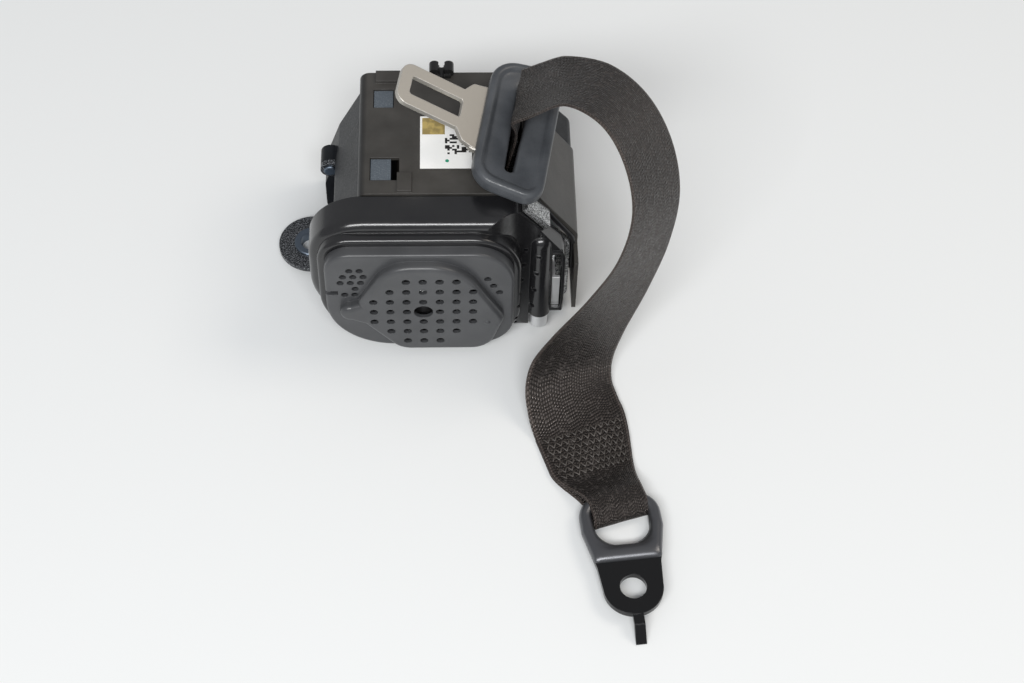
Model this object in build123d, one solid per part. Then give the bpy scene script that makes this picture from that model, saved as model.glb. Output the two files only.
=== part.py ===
from build123d import *
from math import acos, atan2, cos, degrees, hypot, pi, radians, sin
import os

os.makedirs("parts", exist_ok=True)

# A front seat belt: inertia retractor with pretensioner, webbing, tongue and anchor plate.
# Millimetres. X runs right, Y away from the viewer, Z up off the table that the retractor lies on.
# The origin is the centre of the frame's mounting hole, level with the table.

# Webbing and its spool
webbing_width = 47.0
webbing_thick = 1.2
webbing_mid_y = -2.0
webbing_wall_gap = 1.5
spool_x = 58.0
spool_z = 37.0
coil_radius = 31.5
core_radius = 14.0
flange_radius = 27.0
flange_thick = 1.0
shaft_radius = 6.0
torsion_bar_radius = 4.0
running_gap = 0.06
body_gap = 0.3
seat_gap = 0.05

# Steel frame
sheet = 2.5
frame_left = 14.0
frame_right = 114.0
wall_top = 76.0
ear_radius = 17.0
ear_rise = 2.5
ear_bend = 5.0
frame_hole_radius = 8.0
bush_bore_radius = 5.8
bush_flange_radius = 9.0
bush_flange_thick = 1.4
tie_rod_radius = 3.0
rivet_radius = 2.5
rivet_head_thick = 1.2
screw_radius = 1.6
screw_head_radius = 3.4
screw_head_thick = 1.4

# Locking mechanism on the far wall
ratchet_teeth = 28
ratchet_radius = 25.0
ratchet_depth = 3.2
ratchet_width = 6.0
pawl_thick = 3.0
pawl_pivot_x = 90.0
pawl_pivot_z = 14.0
pawl_pin_radius = 3.0
pawl_eye_radius = 6.0
pawl_swing = 13.0
disc_teeth = 40
disc_radius = 25.0
disc_tooth_depth = 1.6
disc_thick = 3.0
ball_radius = 5.0
cup_radius = 9.0
ball_x = 22.0
ball_z = 30.0
sensor_depth = 15.0
sensor_gap = 3.0
lever_pivot_z = 22.6
lever_pin_radius = 0.8
lever_half_width = 4.0
lever_thick = 2.0
beak_gap = 0.7

# Covers
wall = 2.0
cover_far_depth = 20.5
cover_left = 7.0
cover_right = 133.0
cover_bottom = 2.8
cheek_inset = 6.0
cheek_foot_z = 6.0
cheek_turn_z = 42.0
cheek_top_z = 70.0
lug_radius = 5.0
boss_length = 10.0
roof_z = 85.0
roof_left = 27.0
roof_right = 108.0
roof_foot_z = 54.0
roof_near_inset = 0.5
roof_far_reach = 18.5
slope_foot_z = 48.0
guide_foot_z = 6.0
guide_lip = 14.0
exit_x = 101.7
exit_end_gap = 2.5
exit_width = 9.5
label_width = 25.0
label_length = 33.0
label_thick = 0.2

# Pretensioner side
base_thick = 4.5
pan_left = 3.0
pan_right = 127.3
pan_corner_x = 101.6
pan_corner_z = 51.2
pan_top = 84.0
pan_bottom = 1.2
pan_depth = 18.0
fall_start = 84.0
fall_end = 112.0
fall_depth = 12.0
ridge_depth = 6.0
ridge_width = 3.5
ledge_rise = 5.0
plate_rise = 6.0
plate_left = 11.0
plate_right = 102.0
plate_bottom = 2.4
plate_top = 75.0
dome_rise = 5.0
dome_top = 71.0
dome_bottom = 5.0
dome_lobe_radius = 5.0
hole_pitch = 8.0
vent_radius = 2.0
hub_hole_radius = 4.7
small_vent_radius = 1.7
tube_x = 115.2
tube_inset = 3.0
tube_radius = 3.6
tube_wall = 0.8
tube_low_z = 12.0
tube_length = 46.0
tube_lean = 10.0
igniter_length = 8.0
pinion_teeth = 20
pinion_radius = 10.0
pinion_width = 5.0
spring_strip = 0.6
spring_turns = 7
spring_steps = 14
spring_inner = 9.0
spring_pitch = 2.6
spring_height = 5.0
tray_thick = 1.5
tray_rim_radius = 30.0
tray_rim_height = 2.2

# Tongue
blade_thick = 2.6
blade_width = 23.0
blade_reach = 46.0
window_length = 27.5
window_width = 10.5
tongue_end = 14.5
tongue_depth = 36.0
tongue_thick = 9.0
tongue_corner = 13.0
tongue_slot_gap = 2.0
tongue_slot_width = 6.5
tongue_yaw = 9.5
tongue_roll = 4.0
tongue_tilt = 14.0
blade_bend = 15.0
tongue_height = 9.3

# Anchor plate at the webbing's end
anchor_x = 154.0
anchor_y = -203.0
anchor_turn = 6.0
anchor_thick = 3.2
anchor_hole_radius = 6.2
anchor_end_radius = 14.0
anchor_width = 38.0
anchor_bar_y = 45.0
anchor_bar_half = 2.6
anchor_bar_z = 4.6
anchor_fold = 14.5
anchor_bolt_z = 4.6
anchor_tab_width = 5.0
anchor_tab_length = 12.0
gather_width = 24.0
gather_share = 0.35

# The webbing's free route from the sewn end to the tongue. A least-squares fit to the webbing's edges in
# the photograph gave it, and these stations were picked from the fit and rounded by hand:
# x, y, z of its centre line, then heading and lift in degrees of the line across it.
webbing_route = [
    (134, -112, 1.8, 12, 0),
    (131, -103, 4, 12, -7),
    (129, -93, 9, 14, -16),
    (131, -84, 18, 19, -25),
    (138, -79, 33, 27, -30),
    (151, -73, 57, 38, -30),
    (162, -65, 80, 47, -29),
    (167, -53, 101, 51, -28),
    (163, -38, 119, 53, -26),
    (152, -23, 132, 56, -23),
    (135, -10, 135, 60, -17),
    (118, -4, 127, 72, -8),
]
route_steps = 2

# Worked-out places
mid_y = webbing_mid_y
near_inner_y = mid_y - webbing_width / 2 - webbing_wall_gap
far_inner_y = mid_y + webbing_width / 2 + webbing_wall_gap
frame_near_y = near_inner_y - sheet
frame_far_y = far_inner_y + sheet
base_near_y = frame_near_y - base_thick
roof_near_y = base_near_y + roof_near_inset
roof_far_y = frame_far_y + roof_far_reach
pan_front_y = base_near_y - pan_depth
tube_y = pan_front_y + tube_inset
ball_y = frame_far_y + sensor_gap + sensor_depth / 2
exit_length = webbing_width + 2 * exit_end_gap
tongue_slot_length = webbing_width + 2 * tongue_slot_gap
tongue_length = tongue_slot_length + 2 * tongue_end
ledge_y = pan_front_y - ledge_rise
plate_y = ledge_y - plate_rise
dome_y = plate_y - dome_rise
cover_far_y = frame_far_y + cover_far_depth
ratchet_root = ratchet_radius - ratchet_depth
exit_angle = degrees(atan2(roof_z - spool_z, exit_x - spool_x))
run_radius = coil_radius + body_gap + webbing_thick / 2
tangent_angle = exit_angle - degrees(acos(run_radius / hypot(exit_x - spool_x, roof_z - spool_z)))
tangent_x = spool_x + run_radius * cos(radians(tangent_angle))
tangent_z = spool_z + run_radius * sin(radians(tangent_angle))
run_direction = Vector(exit_x - tangent_x, 0, roof_z - tangent_z).normalized()
run_top = 27.0
anchor_place = Location((anchor_x, anchor_y, 0), (0, 0, anchor_turn))


def slab(outline, low_y, high_y):
    """A flat outline drawn in X and Z, made solid between two Y levels."""
    return extrude(Plane.XZ.offset(-high_y) * outline, amount=high_y - low_y)


def rounded(*corners):
    """A closed outline through corners (u, v, radius)."""
    face = make_face(Polyline(*[(u, v) for u, v, _ in corners], close=True))
    for u, v, radius in corners:
        if radius > 0:
            face = fillet(face.vertices().sort_by_distance((u, v, 0))[0], radius)
    return face


def disc(x, z, radius):
    return Pos(x, z) * Circle(radius)


def along_y(x, z, radius, low_y, high_y):
    return slab(disc(x, z, radius), low_y, high_y)


def block(x0, x1, y0, y1, z0, z1):
    return Pos((x0 + x1) / 2, (y0 + y1) / 2, (z0 + z1) / 2) * Box(x1 - x0, y1 - y0, z1 - z0)


def toothed(teeth, radius, depth, shares):
    """A wheel outline. shares says where in a step the root ends, the tip starts and ends, the root returns."""
    points = []
    step = 2 * pi / teeth
    for n in range(teeth):
        for share, r in zip(shares, (radius - depth, radius, radius, radius - depth)):
            turn = (n + share) * step
            points.append((r * cos(turn), r * sin(turn)))
    return make_face(Polyline(*points, close=True))


# Frame
def make_frame():
    """The back plate, between the two walls, with the stepped ear of the mounting hole."""
    wall_left = frame_left + 8
    plate = block(wall_left, frame_right, near_inner_y, far_inner_y, 0, sheet)
    plate = plate + block(frame_left, wall_left, frame_near_y, frame_far_y, 0, sheet)
    root = frame_left + 1
    top = ear_rise + sheet
    step = make_face(Polyline((-2 * ear_radius, ear_rise), (ear_bend, ear_rise), (ear_bend + 4, 0), (root, 0),
                              (root, sheet), (ear_bend + 5, sheet), (ear_bend + 1, top), (-2 * ear_radius, top),
                              close=True))
    plan = make_face(Polyline((0, -ear_radius), (ear_bend, -ear_radius), (root, frame_near_y),
                              (root, frame_far_y), (ear_bend, ear_radius), (0, ear_radius), close=True))
    plan = plan + Circle(ear_radius) - Circle(frame_hole_radius + seat_gap)
    ear = slab(step, frame_near_y, frame_far_y) & extrude(plan, amount=20)
    return plate + ear


def wall_outline():
    left = frame_left + 8
    return rounded((left, 0, 0), (left, 30, 10), (40, wall_top, 10), (96, wall_top, 14),
                   (frame_right, 40, 12), (frame_right, 0, 0))


def make_frame_near_wall():
    side = wall_outline() - disc(spool_x, spool_z, shaft_radius + 6)
    for x, z in rivet_places():
        side = side - disc(x, z, rivet_radius + seat_gap)
    return slab(side, frame_near_y, near_inner_y)


def make_frame_far_wall():
    """The wall beside the lock, with a strip out to the cover's screw lug."""
    lug_x, lug_z = screw_places()[0]
    strip = Pos((lug_x + frame_left + 14) / 2, lug_z) * Rectangle(frame_left + 14 - lug_x, 2 * lug_radius)
    side = wall_outline() + disc(lug_x, lug_z, lug_radius) + strip
    side = side - disc(spool_x, spool_z, ratchet_radius + 2)
    for x, z in screw_places():
        side = side - disc(x, z, screw_radius + seat_gap)
    return slab(side, far_inner_y, frame_far_y)


def make_frame_bush():
    height = ear_rise + sheet
    sleeve = extrude(Circle(frame_hole_radius), amount=height)
    flange = Pos(0, 0, height) * extrude(Circle(bush_flange_radius), amount=bush_flange_thick)
    bore = extrude(Circle(bush_bore_radius), amount=height + bush_flange_thick)
    return chamfer((sleeve + flange).edges().sort_by(Axis.Z)[-1], 0.5) - bore


def tie_places():
    return [(42, wall_top - 6.5), (84, wall_top - 6.5)]


def make_tie_rods():
    rods = [along_y(x, z, tie_rod_radius, near_inner_y, far_inner_y) for x, z in tie_places()]
    return Compound(children=rods)


# Spool and what turns with it
def make_spool():
    core = along_y(spool_x, spool_z, core_radius, near_inner_y + body_gap, far_inner_y - body_gap)
    low, high = near_inner_y + body_gap, far_inner_y - body_gap
    near = along_y(spool_x, spool_z, flange_radius, low, low + flange_thick)
    far = along_y(spool_x, spool_z, flange_radius, high - flange_thick, high)
    bore = along_y(spool_x, spool_z, torsion_bar_radius + seat_gap, near_inner_y, far_inner_y)
    slot_outline = Pos(spool_x, spool_z) * Rectangle(2 * core_radius, 2 * webbing_thick)
    slot = slab(slot_outline, mid_y - webbing_width / 2, mid_y + webbing_width / 2)
    slot = slot - along_y(spool_x, spool_z, torsion_bar_radius + 3, near_inner_y, far_inner_y)
    return core + near + far - bore - slot


def make_webbing_coil():
    ring = disc(spool_x, spool_z, coil_radius) - disc(spool_x, spool_z, core_radius + seat_gap)
    return slab(ring, mid_y - webbing_width / 2, mid_y + webbing_width / 2)


def make_torsion_bar():
    bar = along_y(spool_x, spool_z, torsion_bar_radius, near_inner_y, far_inner_y - 4)
    head = along_y(spool_x, spool_z, torsion_bar_radius - 0.6, far_inner_y - 4, far_inner_y)
    return bar + head


def make_ratchet_wheel():
    low = far_inner_y
    outline = toothed(ratchet_teeth, ratchet_radius, ratchet_depth, (0.1, 0.72, 0.88, 0.98))
    outline = Pos(spool_x, spool_z) * outline
    for n in range(6):
        outline = outline - disc(spool_x + 15 * cos(n * pi / 3), spool_z + 15 * sin(n * pi / 3), 3)
    wheel = slab(outline, low, low + ratchet_width)
    hub = along_y(spool_x, spool_z, shaft_radius, low + ratchet_width, cover_far_y - wall - 1)
    return wheel + hub


def make_control_disc():
    low = far_inner_y + ratchet_width + body_gap
    teeth = Pos(spool_x, spool_z) * toothed(disc_teeth, disc_radius, disc_tooth_depth, (0, 0.1, 0.3, 0.4))
    ring = slab(teeth - disc(spool_x, spool_z, shaft_radius + seat_gap), low, low + disc_thick)
    pocket = disc(spool_x, spool_z, disc_radius - 5) - disc(spool_x, spool_z, shaft_radius + 3)
    return ring - slab(pocket, low + disc_thick / 2, low + disc_thick)


def make_pinion_shaft():
    high = near_inner_y
    gear = Pos(spool_x, spool_z) * toothed(pinion_teeth, pinion_radius, 1.8, (0.1, 0.3, 0.5, 0.7))
    shaft = along_y(spool_x, spool_z, shaft_radius, ledge_y - 3, high)
    return shaft + slab(gear, base_near_y - body_gap - pinion_width, base_near_y - body_gap)


def make_spring_arbor():
    high = ledge_y - 3
    hub = along_y(spool_x, spool_z, spring_inner - 1.5, plate_y + 0.4, high)
    slot = slab(Pos(spool_x + spring_inner - 2, spool_z) * Rectangle(3, 1.4), plate_y + 0.4, high - 1)
    return hub - slot


# Locking mechanism that stays or swings
def opened(radius, turn):
    """A point given by its place about the spool when the pawl is engaged, swung back to the open pose."""
    x = spool_x + radius * cos(radians(turn)) - pawl_pivot_x
    z = spool_z + radius * sin(radians(turn)) - pawl_pivot_z
    swing = radians(pawl_swing)
    return pawl_pivot_x + x * cos(swing) + z * sin(swing), pawl_pivot_z - x * sin(swing) + z * cos(swing)


def make_lock_pawl():
    """A plate arm from its pivot to a nose shaped to fill one gap between ratchet teeth."""
    step = 360 / ratchet_teeth
    low = -step - 0.1
    tip = ratchet_root + 0.6
    crest = ratchet_radius + 0.6
    nose = [opened(tip, low + 0.2), opened(tip + 0.1, low + 1.0)]
    nose = nose + [opened(crest, low + 5), opened(crest + 5, low + 5)]
    heel = [(pawl_pivot_x + pawl_eye_radius, pawl_pivot_z), (pawl_pivot_x - pawl_eye_radius, pawl_pivot_z)]
    arm = make_face(Polyline(*nose, *heel, opened(crest, low - 1.1), close=True))
    outline = arm + disc(pawl_pivot_x, pawl_pivot_z, pawl_eye_radius)
    outline = outline - disc(pawl_pivot_x, pawl_pivot_z, pawl_pin_radius + running_gap)
    return slab(outline, frame_far_y + seat_gap, frame_far_y + seat_gap + pawl_thick)


def make_pawl_pin():
    return along_y(pawl_pivot_x, pawl_pivot_z, pawl_pin_radius, frame_far_y, frame_far_y + pawl_thick + 2)


def cup_box():
    low = frame_far_y + sensor_gap
    return low, low + sensor_depth


def make_sensor_housing():
    low, high = cup_box()
    body = block(15.6, 21.8, low, high, 17, 38) + block(15.6, 34, low, high, 17, 20.4)
    cup = Pos(ball_x + cup_radius - ball_radius - body_gap, ball_y, ball_z) * Sphere(cup_radius)
    return body - cup


def make_sensor_ball():
    return Pos(ball_x, ball_y, ball_z) * Sphere(ball_radius)


def make_sensor_lever():
    """A pivoted arm lying on the ball, with a beak that points at the control disc."""
    low, high = cup_box()
    x = ball_x + ball_radius + body_gap
    left, right = ball_y - lever_half_width, ball_y + lever_half_width
    top = ball_z + 8
    arm = block(x, x + lever_thick, left, right, lever_pivot_z + 0.9, top)
    eye = along_y(x + 1.5, lever_pivot_z, lever_pin_radius + 1, left, right)
    beak = block(x, spool_x - disc_radius - beak_gap, low + 1, low + 4, top - 3.8, top - 2)
    link = block(x, x + lever_thick, low + 1, ball_y, top - 5, top)
    bore = along_y(x + 1.5, lever_pivot_z, lever_pin_radius + running_gap, low, high)
    return arm + eye + beak + link - bore


def make_lever_pin():
    low, high = cup_box()
    return along_y(ball_x + ball_radius + body_gap + 1.5, lever_pivot_z, lever_pin_radius, low, high)


# Covers
def far_outline(inset):
    e = inset
    low = cover_bottom + e
    high = roof_z - wall - 0.4 - e
    return rounded((cover_left + e, low, 3), (cover_left + e, 22, 8), (cover_left + 8 + e, 46, 10),
                   (roof_left + 6 + e, high, 3), (roof_right - 4 - e, high, 3),
                   (cover_right - e, slope_foot_z - e, 8), (cover_right - e, low, 3))


def make_cheek():
    """The cover's side wall along the frame's left, cut back round the screw lug, and the web that closes it."""
    lug_x, lug_z = screw_places()[0]
    left = cover_left + cheek_inset
    right = roof_left - 0.4
    outline = rounded((left, cheek_foot_z, 0), (left, cheek_turn_z, 8), (right, cheek_top_z, 0),
                      (right, cheek_top_z - 2 * wall - 0.6, 0), (left + wall, cheek_turn_z - 0.6, 7),
                      (left + wall, cheek_foot_z, 0))
    cheek = slab(outline, frame_near_y + 1.2, frame_far_y + 1)
    reach = lug_radius + body_gap
    notch = block(0, left + 3, far_inner_y - 4, frame_far_y, lug_z - reach, lug_z + reach)
    web = far_outline(0) & Pos(cover_left + 4, 26) * Rectangle(8 + wall, 40)
    return cheek - notch + slab(web, frame_far_y, frame_far_y + wall)


def make_lock_cover():
    """The moulded cover of the locking side, with a screw lug at its left."""
    shell = slab(far_outline(0), frame_far_y, cover_far_y)
    shell = fillet(shell.faces().sort_by(Axis.Y)[-1].edges(), 1.5)
    shell = shell - slab(far_outline(wall), frame_far_y, cover_far_y - wall) + make_cheek()
    for place, (x, z) in enumerate(screw_places()):
        radius = lug_radius if place == 0 else screw_radius + wall
        boss_end = frame_far_y + boss_length if place == 0 else cover_far_y - wall
        shell = shell + along_y(x, z, radius, frame_far_y, boss_end)
    for x, z in screw_places():
        shell = shell - along_y(x, z, screw_radius + seat_gap, frame_far_y, frame_far_y + boss_length - 1)
    boss = along_y(spool_x, spool_z, shaft_radius + 4, cover_far_y - wall - 6, cover_far_y + 1.5)
    low = cover_far_y - wall - 6
    boss = boss - along_y(spool_x, spool_z, shaft_radius + running_gap, low, cover_far_y - 0.8)
    rings = [disc(spool_x, spool_z, r) - disc(spool_x, spool_z, r - 1.5) for r in (18, 28)]
    return shell + boss + [slab(ring, cover_far_y, cover_far_y + 0.9) for ring in rings]


def make_shroud():
    """The matte roof over the webbing, open below, with clip windows and the webbing's way out."""
    outer = rounded((roof_left, roof_foot_z, 0), (roof_left, roof_z, 5), (roof_right, roof_z, 1.5),
                    (roof_right, roof_foot_z, 0))
    under = roof_z - wall
    left, right = roof_left + wall, roof_right + 5
    inner = rounded((left, roof_foot_z - 4, 0), (left, under, 3), (right, under, 0), (right, roof_foot_z - 4, 0))
    shell = slab(outer, roof_near_y, roof_far_y) - slab(inner, roof_near_y - 1, roof_far_y + 1)
    shell = shell - slab(far_outline(-0.4), frame_far_y, roof_far_y + 1)
    windows = block(34, 44, 21, 33, roof_z - wall, roof_z) + block(33, 47, -25, -11, roof_z - wall, roof_z)
    exit_slot = block(exit_x - exit_width / 2, exit_x + exit_width / 2,
                      mid_y - exit_length / 2, mid_y + exit_length / 2, roof_z - wall, roof_z)
    tab = block(35, 47, 37, roof_far_y, roof_z, roof_z + 1.6)
    pad = block(46, 53, -32.5, -21, roof_z, roof_z + 1.2)
    return shell - windows - exit_slot + tab + pad


def make_clip(x0, x1, tip_y, root_y):
    """A latch leaf in its window, with a leg down at its root."""
    leaf = block(x0, x1, min(tip_y, root_y), max(tip_y, root_y), roof_z - wall, roof_z - 0.8)
    leg_y = root_y + (1 if tip_y > root_y else -1)
    return leaf + block(x0, x1, leg_y - 1, leg_y + 1, roof_z - wall - 6, roof_z - wall)


def make_roof_clips():
    return Compound(children=[make_clip(34.3, 43.7, 32.7, 21.3), make_clip(33.3, 43, -24.7, -11.3)])


def make_webbing_guide():
    """The matte cover of the cut-off corner on the webbing's side."""
    left, right = roof_right + body_gap, cover_right + 1
    outer = rounded((left, roof_z, 0), (right, slope_foot_z, 6), (right, guide_foot_z, 0),
                    (right - wall, guide_foot_z, 0), (right - wall, slope_foot_z - 1.2, 5),
                    (left, roof_z - 3, 0))
    near = frame_near_y + 0.3
    lip = block(right - wall, right, near - guide_lip, near, guide_foot_z, slope_foot_z - 6)
    return slab(outer, near, frame_far_y - 0.3) + lip


def make_label():
    return block(57, 57 + label_width, 15 - label_length, 15, roof_z, roof_z + label_thick)


def make_cable_clip():
    base = block(62, 72, roof_far_y - 4, roof_far_y + 2, roof_z + 0.1, roof_z + 2)
    lobes = [Pos(x, roof_far_y, roof_z + 2.8) * Cylinder(2.6, 6, rotation=(90, 0, 0)) for x in (64, 71)]
    groove = Pos(67.5, roof_far_y, roof_z + 3.4) * Cylinder(1.8, 8, rotation=(90, 0, 0))
    return base + lobes - groove


# Pretensioner side
def base_outline():
    left = roof_left + wall + body_gap
    high = roof_z - wall - 0.4
    return rounded((12, 2.6, 10), (12, 50, 6), (left, 53.4, 0), (left, high, 3), (roof_right - 12, high, 8),
                   (cover_right - 3, 46, 8), (cover_right - 3, 2.6, 6))


def cast_ridge():
    """A raised cast strip just outside the pan's slanted corner, in axes along and across that slant."""
    run = Vector(pan_right - pan_corner_x, pan_corner_z - pan_top).normalized()
    slant = Location((pan_corner_x, pan_top, 0), (0, 0, degrees(atan2(run.Y, run.X))))
    strip = slant * Pos(15, body_gap + ridge_width / 2) * Rectangle(18, ridge_width)
    foot = slant * Pos(15, ridge_width / 2 - 4) * Rectangle(18, ridge_width + 8)
    return slab(strip, base_near_y - ridge_depth, frame_near_y) + slab(foot, base_near_y, frame_near_y)


def make_pretensioner_base():
    plate = slab(base_outline(), base_near_y, frame_near_y)
    for x, z in rivet_places():
        plate = plate - along_y(x, z, rivet_radius + seat_gap, base_near_y, frame_near_y)
    plate = plate + cast_ridge()
    return plate - along_y(spool_x, spool_z, shaft_radius + running_gap, base_near_y, frame_near_y)


def pan_outline(e):
    slant = e * 0.55
    return rounded((pan_left + e, pan_bottom + e, 40 - e), (pan_left + e, pan_top - e, 27 - e),
                   (pan_corner_x - slant, pan_top - e, 12), (pan_right - e, pan_corner_z - slant, 10),
                   (pan_right - e, pan_bottom + e, 12 - e))


def plate_outline(e):
    left, right, low, high = plate_left + e, plate_right - e, plate_bottom + e, plate_top - e
    return rounded((left, low, 33 - e), (left, high, 13 - e), (right, high, 21 - e), (right, low, 19 - e))


def small_vents():
    places = [(107.7 - n * 0.92, 55 - n * 9.8) for n in range(6)] + [(114.9 - n * 0.9, 64 - n * 11) for n in range(5)]
    return [along_y(x, z, small_vent_radius * 0.7, ledge_y - 1, pan_front_y + 10) for x, z in places]


def pan_fall():
    """What is cut from the pan's front: towards its upper right corner the face falls back in an S curve."""
    curve = Spline((fall_start, pan_front_y), ((fall_start + fall_end) / 2, pan_front_y + fall_depth / 2),
                   (fall_end, pan_front_y + fall_depth), tangents=((1, 0), (1, 0)))
    rest = Polyline((fall_end, pan_front_y + fall_depth), (150, pan_front_y + fall_depth),
                    (150, pan_front_y - 30), (fall_start, pan_front_y - 30), (fall_start, pan_front_y))
    down = Vector(0, -fall_depth, -pan_top)
    return extrude(Pos(0, 0, pan_top) * make_face(curve + rest), amount=down.length, dir=down.normalized())


def tube_place():
    """The gas tube's lower end, with Z along the tube, which leans back as it rises."""
    return Pos(tube_x, tube_y, tube_low_z) * Rot(-tube_lean, 0, 0)


def capped_tube(radius):
    """A round bar along the gas tube, with a ball at its upper end."""
    bar = Pos(0, 0, tube_length / 2) * Cylinder(radius, tube_length)
    return tube_place() * (bar + Pos(0, 0, tube_length) * Sphere(radius))


def pan_window():
    """The opening beside the bulge, where the tube's bracket shows."""
    left = tube_x + tube_radius + 2.2
    return block(left, pan_right - 1.6, pan_front_y - 9, pan_front_y + 9, tube_low_z + 3, 54)


def make_pan_cover():
    """The glossy cover: a rounded pan with a stepped front and a bulge over the gas tube."""
    skirt_y = base_near_y
    body = slab(pan_outline(0), pan_front_y, skirt_y)
    body = fillet(body.faces().sort_by(Axis.Y)[0].edges(), 5.0)
    body = body - pan_fall()
    inside = slab(pan_outline(0), pan_front_y - 20, skirt_y)
    step = slab(plate_outline(-3.5), ledge_y, pan_front_y + fall_depth / 2)
    step = fillet(step.faces().sort_by(Axis.Y)[0].edges(), 2.0) & inside
    hollow = slab(pan_outline(wall), pan_front_y + wall, skirt_y) - Pos(0, wall, 0) * pan_fall()
    hollow = hollow + slab(plate_outline(wall + 1), ledge_y, pan_front_y + wall)
    bulge = capped_tube(tube_radius + 2) & inside
    bore = capped_tube(tube_radius + 0.6)
    mouth = block(tube_x - 5.2, pan_right + 4, pan_front_y - 9, pan_front_y + 9, pan_bottom - 2, tube_low_z + 1)
    return body + step + bulge - hollow - bore - mouth - pan_window() - small_vents()


def dome_outline(e):
    """An arch with a straight slant on either side, and a round lobe at its lower left."""
    high, low = dome_top - e, dome_bottom + e
    arch = rounded((26.5 + e, 43, 4), (41 + e / 2, high, 20 - e), (76.4 - e / 2, high, 28 - e),
                   (97.5 - e, 30, 7 - e), (90 - e, low, 12 - e), (46 + e / 2, low, 12 - e), (29.5 + e, 26, 5))
    neck = make_face(Polyline((22.5, 39.4 - e), (34, 44 - e), (34, 24 + e), (22.5, 29.6 + e), close=True))
    return arch + neck + disc(22.5, 34.5, dome_lobe_radius - e)


def dome_hole_rows():
    """How far the grid of holes reaches up and down in each column."""
    return {-3: (-1, 1), -2: (-2, 2), -1: (-3, 3), 0: (-3, 3), 1: (-3, 3), 2: (-2, 3), 3: (-1, 2)}


def front_holes():
    holes = disc(spool_x, spool_z, hub_hole_radius)
    for column, (low, high) in dome_hole_rows().items():
        for row in range(low, high + 1):
            if (column, row) != (0, 0):
                holes = holes + disc(spool_x + column * hole_pitch, spool_z + row * hole_pitch, vent_radius)
    return holes


def corner_holes():
    holes = Pos(14, 46) * Rectangle(6, 3)
    for row, count, start in ((0, 2, 23), (1, 3, 19.8), (2, 3, 18.4), (3, 1, 25.4), (4, 2, 20.2)):
        for n in range(count):
            holes = holes + disc(start + 4.9 * n, 63.4 - 4.7 * row, small_vent_radius)
    for n in range(3):
        holes = holes + disc(89 + 2.9 * n, 56.3 - 5.3 * n, small_vent_radius)
    return holes


def make_spring_cover():
    """The perforated cover of the return spring: a rounded plate with a raised dome."""
    skirt = slab(plate_outline(0), plate_y, ledge_y)
    skirt = fillet(skirt.faces().sort_by(Axis.Y)[0].edges(), 1.6)
    dome = slab(dome_outline(0), dome_y, plate_y)
    dome = fillet(dome.faces().sort_by(Axis.Y)[0].edges(), 2.6)
    hollow = slab(plate_outline(wall), plate_y + wall, ledge_y)
    hollow = hollow + slab(dome_outline(wall), dome_y + wall, plate_y + wall)
    shell = skirt + dome - hollow
    shell = shell - slab(front_holes(), dome_y, plate_y + wall) + Pos(89, dome_y + 1, 28) * Sphere(1.8)
    return shell - slab(corner_holes(), plate_y, plate_y + wall)


def make_spring_case():
    """The tray behind the return spring."""
    outline = plate_outline(wall + body_gap) - disc(spool_x, spool_z, shaft_radius + running_gap)
    floor = slab(outline, ledge_y - tray_thick, ledge_y)
    rim = disc(spool_x, spool_z, tray_rim_radius) - disc(spool_x, spool_z, tray_rim_radius - 1.2)
    return floor + slab(rim, ledge_y - tray_thick - tray_rim_height, ledge_y - tray_thick)


def make_return_spring():
    """A flat spiral strip whose radius grows by the pitch in each turn, in straight steps."""
    low = ledge_y - tray_thick - spring_height - 1.0
    inner, outer = [], []
    for n in range(spring_turns * spring_steps + 1):
        turn = 2 * pi * n / spring_steps
        radius = spring_inner + spring_pitch * n / spring_steps
        inner.append((spool_x + radius * cos(turn), spool_z + radius * sin(turn)))
        radius = radius + spring_strip
        outer.append((spool_x + radius * cos(turn), spool_z + radius * sin(turn)))
    return slab(make_face(Polyline(*inner, *reversed(outer), close=True)), low, low + spring_height)


def make_gas_tube():
    bore = Pos(0, 0, tube_length / 2) * Cylinder(tube_radius - tube_wall, tube_length)
    return capped_tube(tube_radius) - tube_place() * bore


def make_gas_generator():
    inside = Pos(0, 0, 8) * Cylinder(tube_radius - tube_wall - seat_gap, 16)
    head = Pos(0, 0, -igniter_length / 2) * Cylinder(tube_radius + 0.8, igniter_length)
    socket = Pos(0, 0, 2 - igniter_length) * Cylinder(2.2, 4)
    return tube_place() * (inside + head - socket)


def make_tube_bracket():
    left, right = tube_x + tube_radius + 2.4, pan_right - wall - body_gap
    near = pan_front_y + 5
    low, high = tube_low_z + 1, 36
    sheet_plate = block(left, right, near, near + 1.5, low, high)
    return sheet_plate + block(left, left + 1.5, near + 1.5, base_near_y, low, high)


# Tongue, in its own axes: X towards the tip, Y along the slot, Z out of the face
def tongue_place():
    centre = Vector(exit_x, mid_y, roof_z) + run_direction * tongue_height
    return Location(centre) * Rot(0, 0, 180 - tongue_yaw) * Rot(0, -tongue_tilt, 0) * Rot(-tongue_roll, 0, 0)


def overmould_outline(e):
    half = tongue_length / 2 - e
    front = tongue_depth / 2 - e
    return rounded((front, half - 4, tongue_corner - e), (-front, half, 9 - e), (-front, -half, 9 - e),
                   (front, -half + 4, tongue_corner - e))


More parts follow.
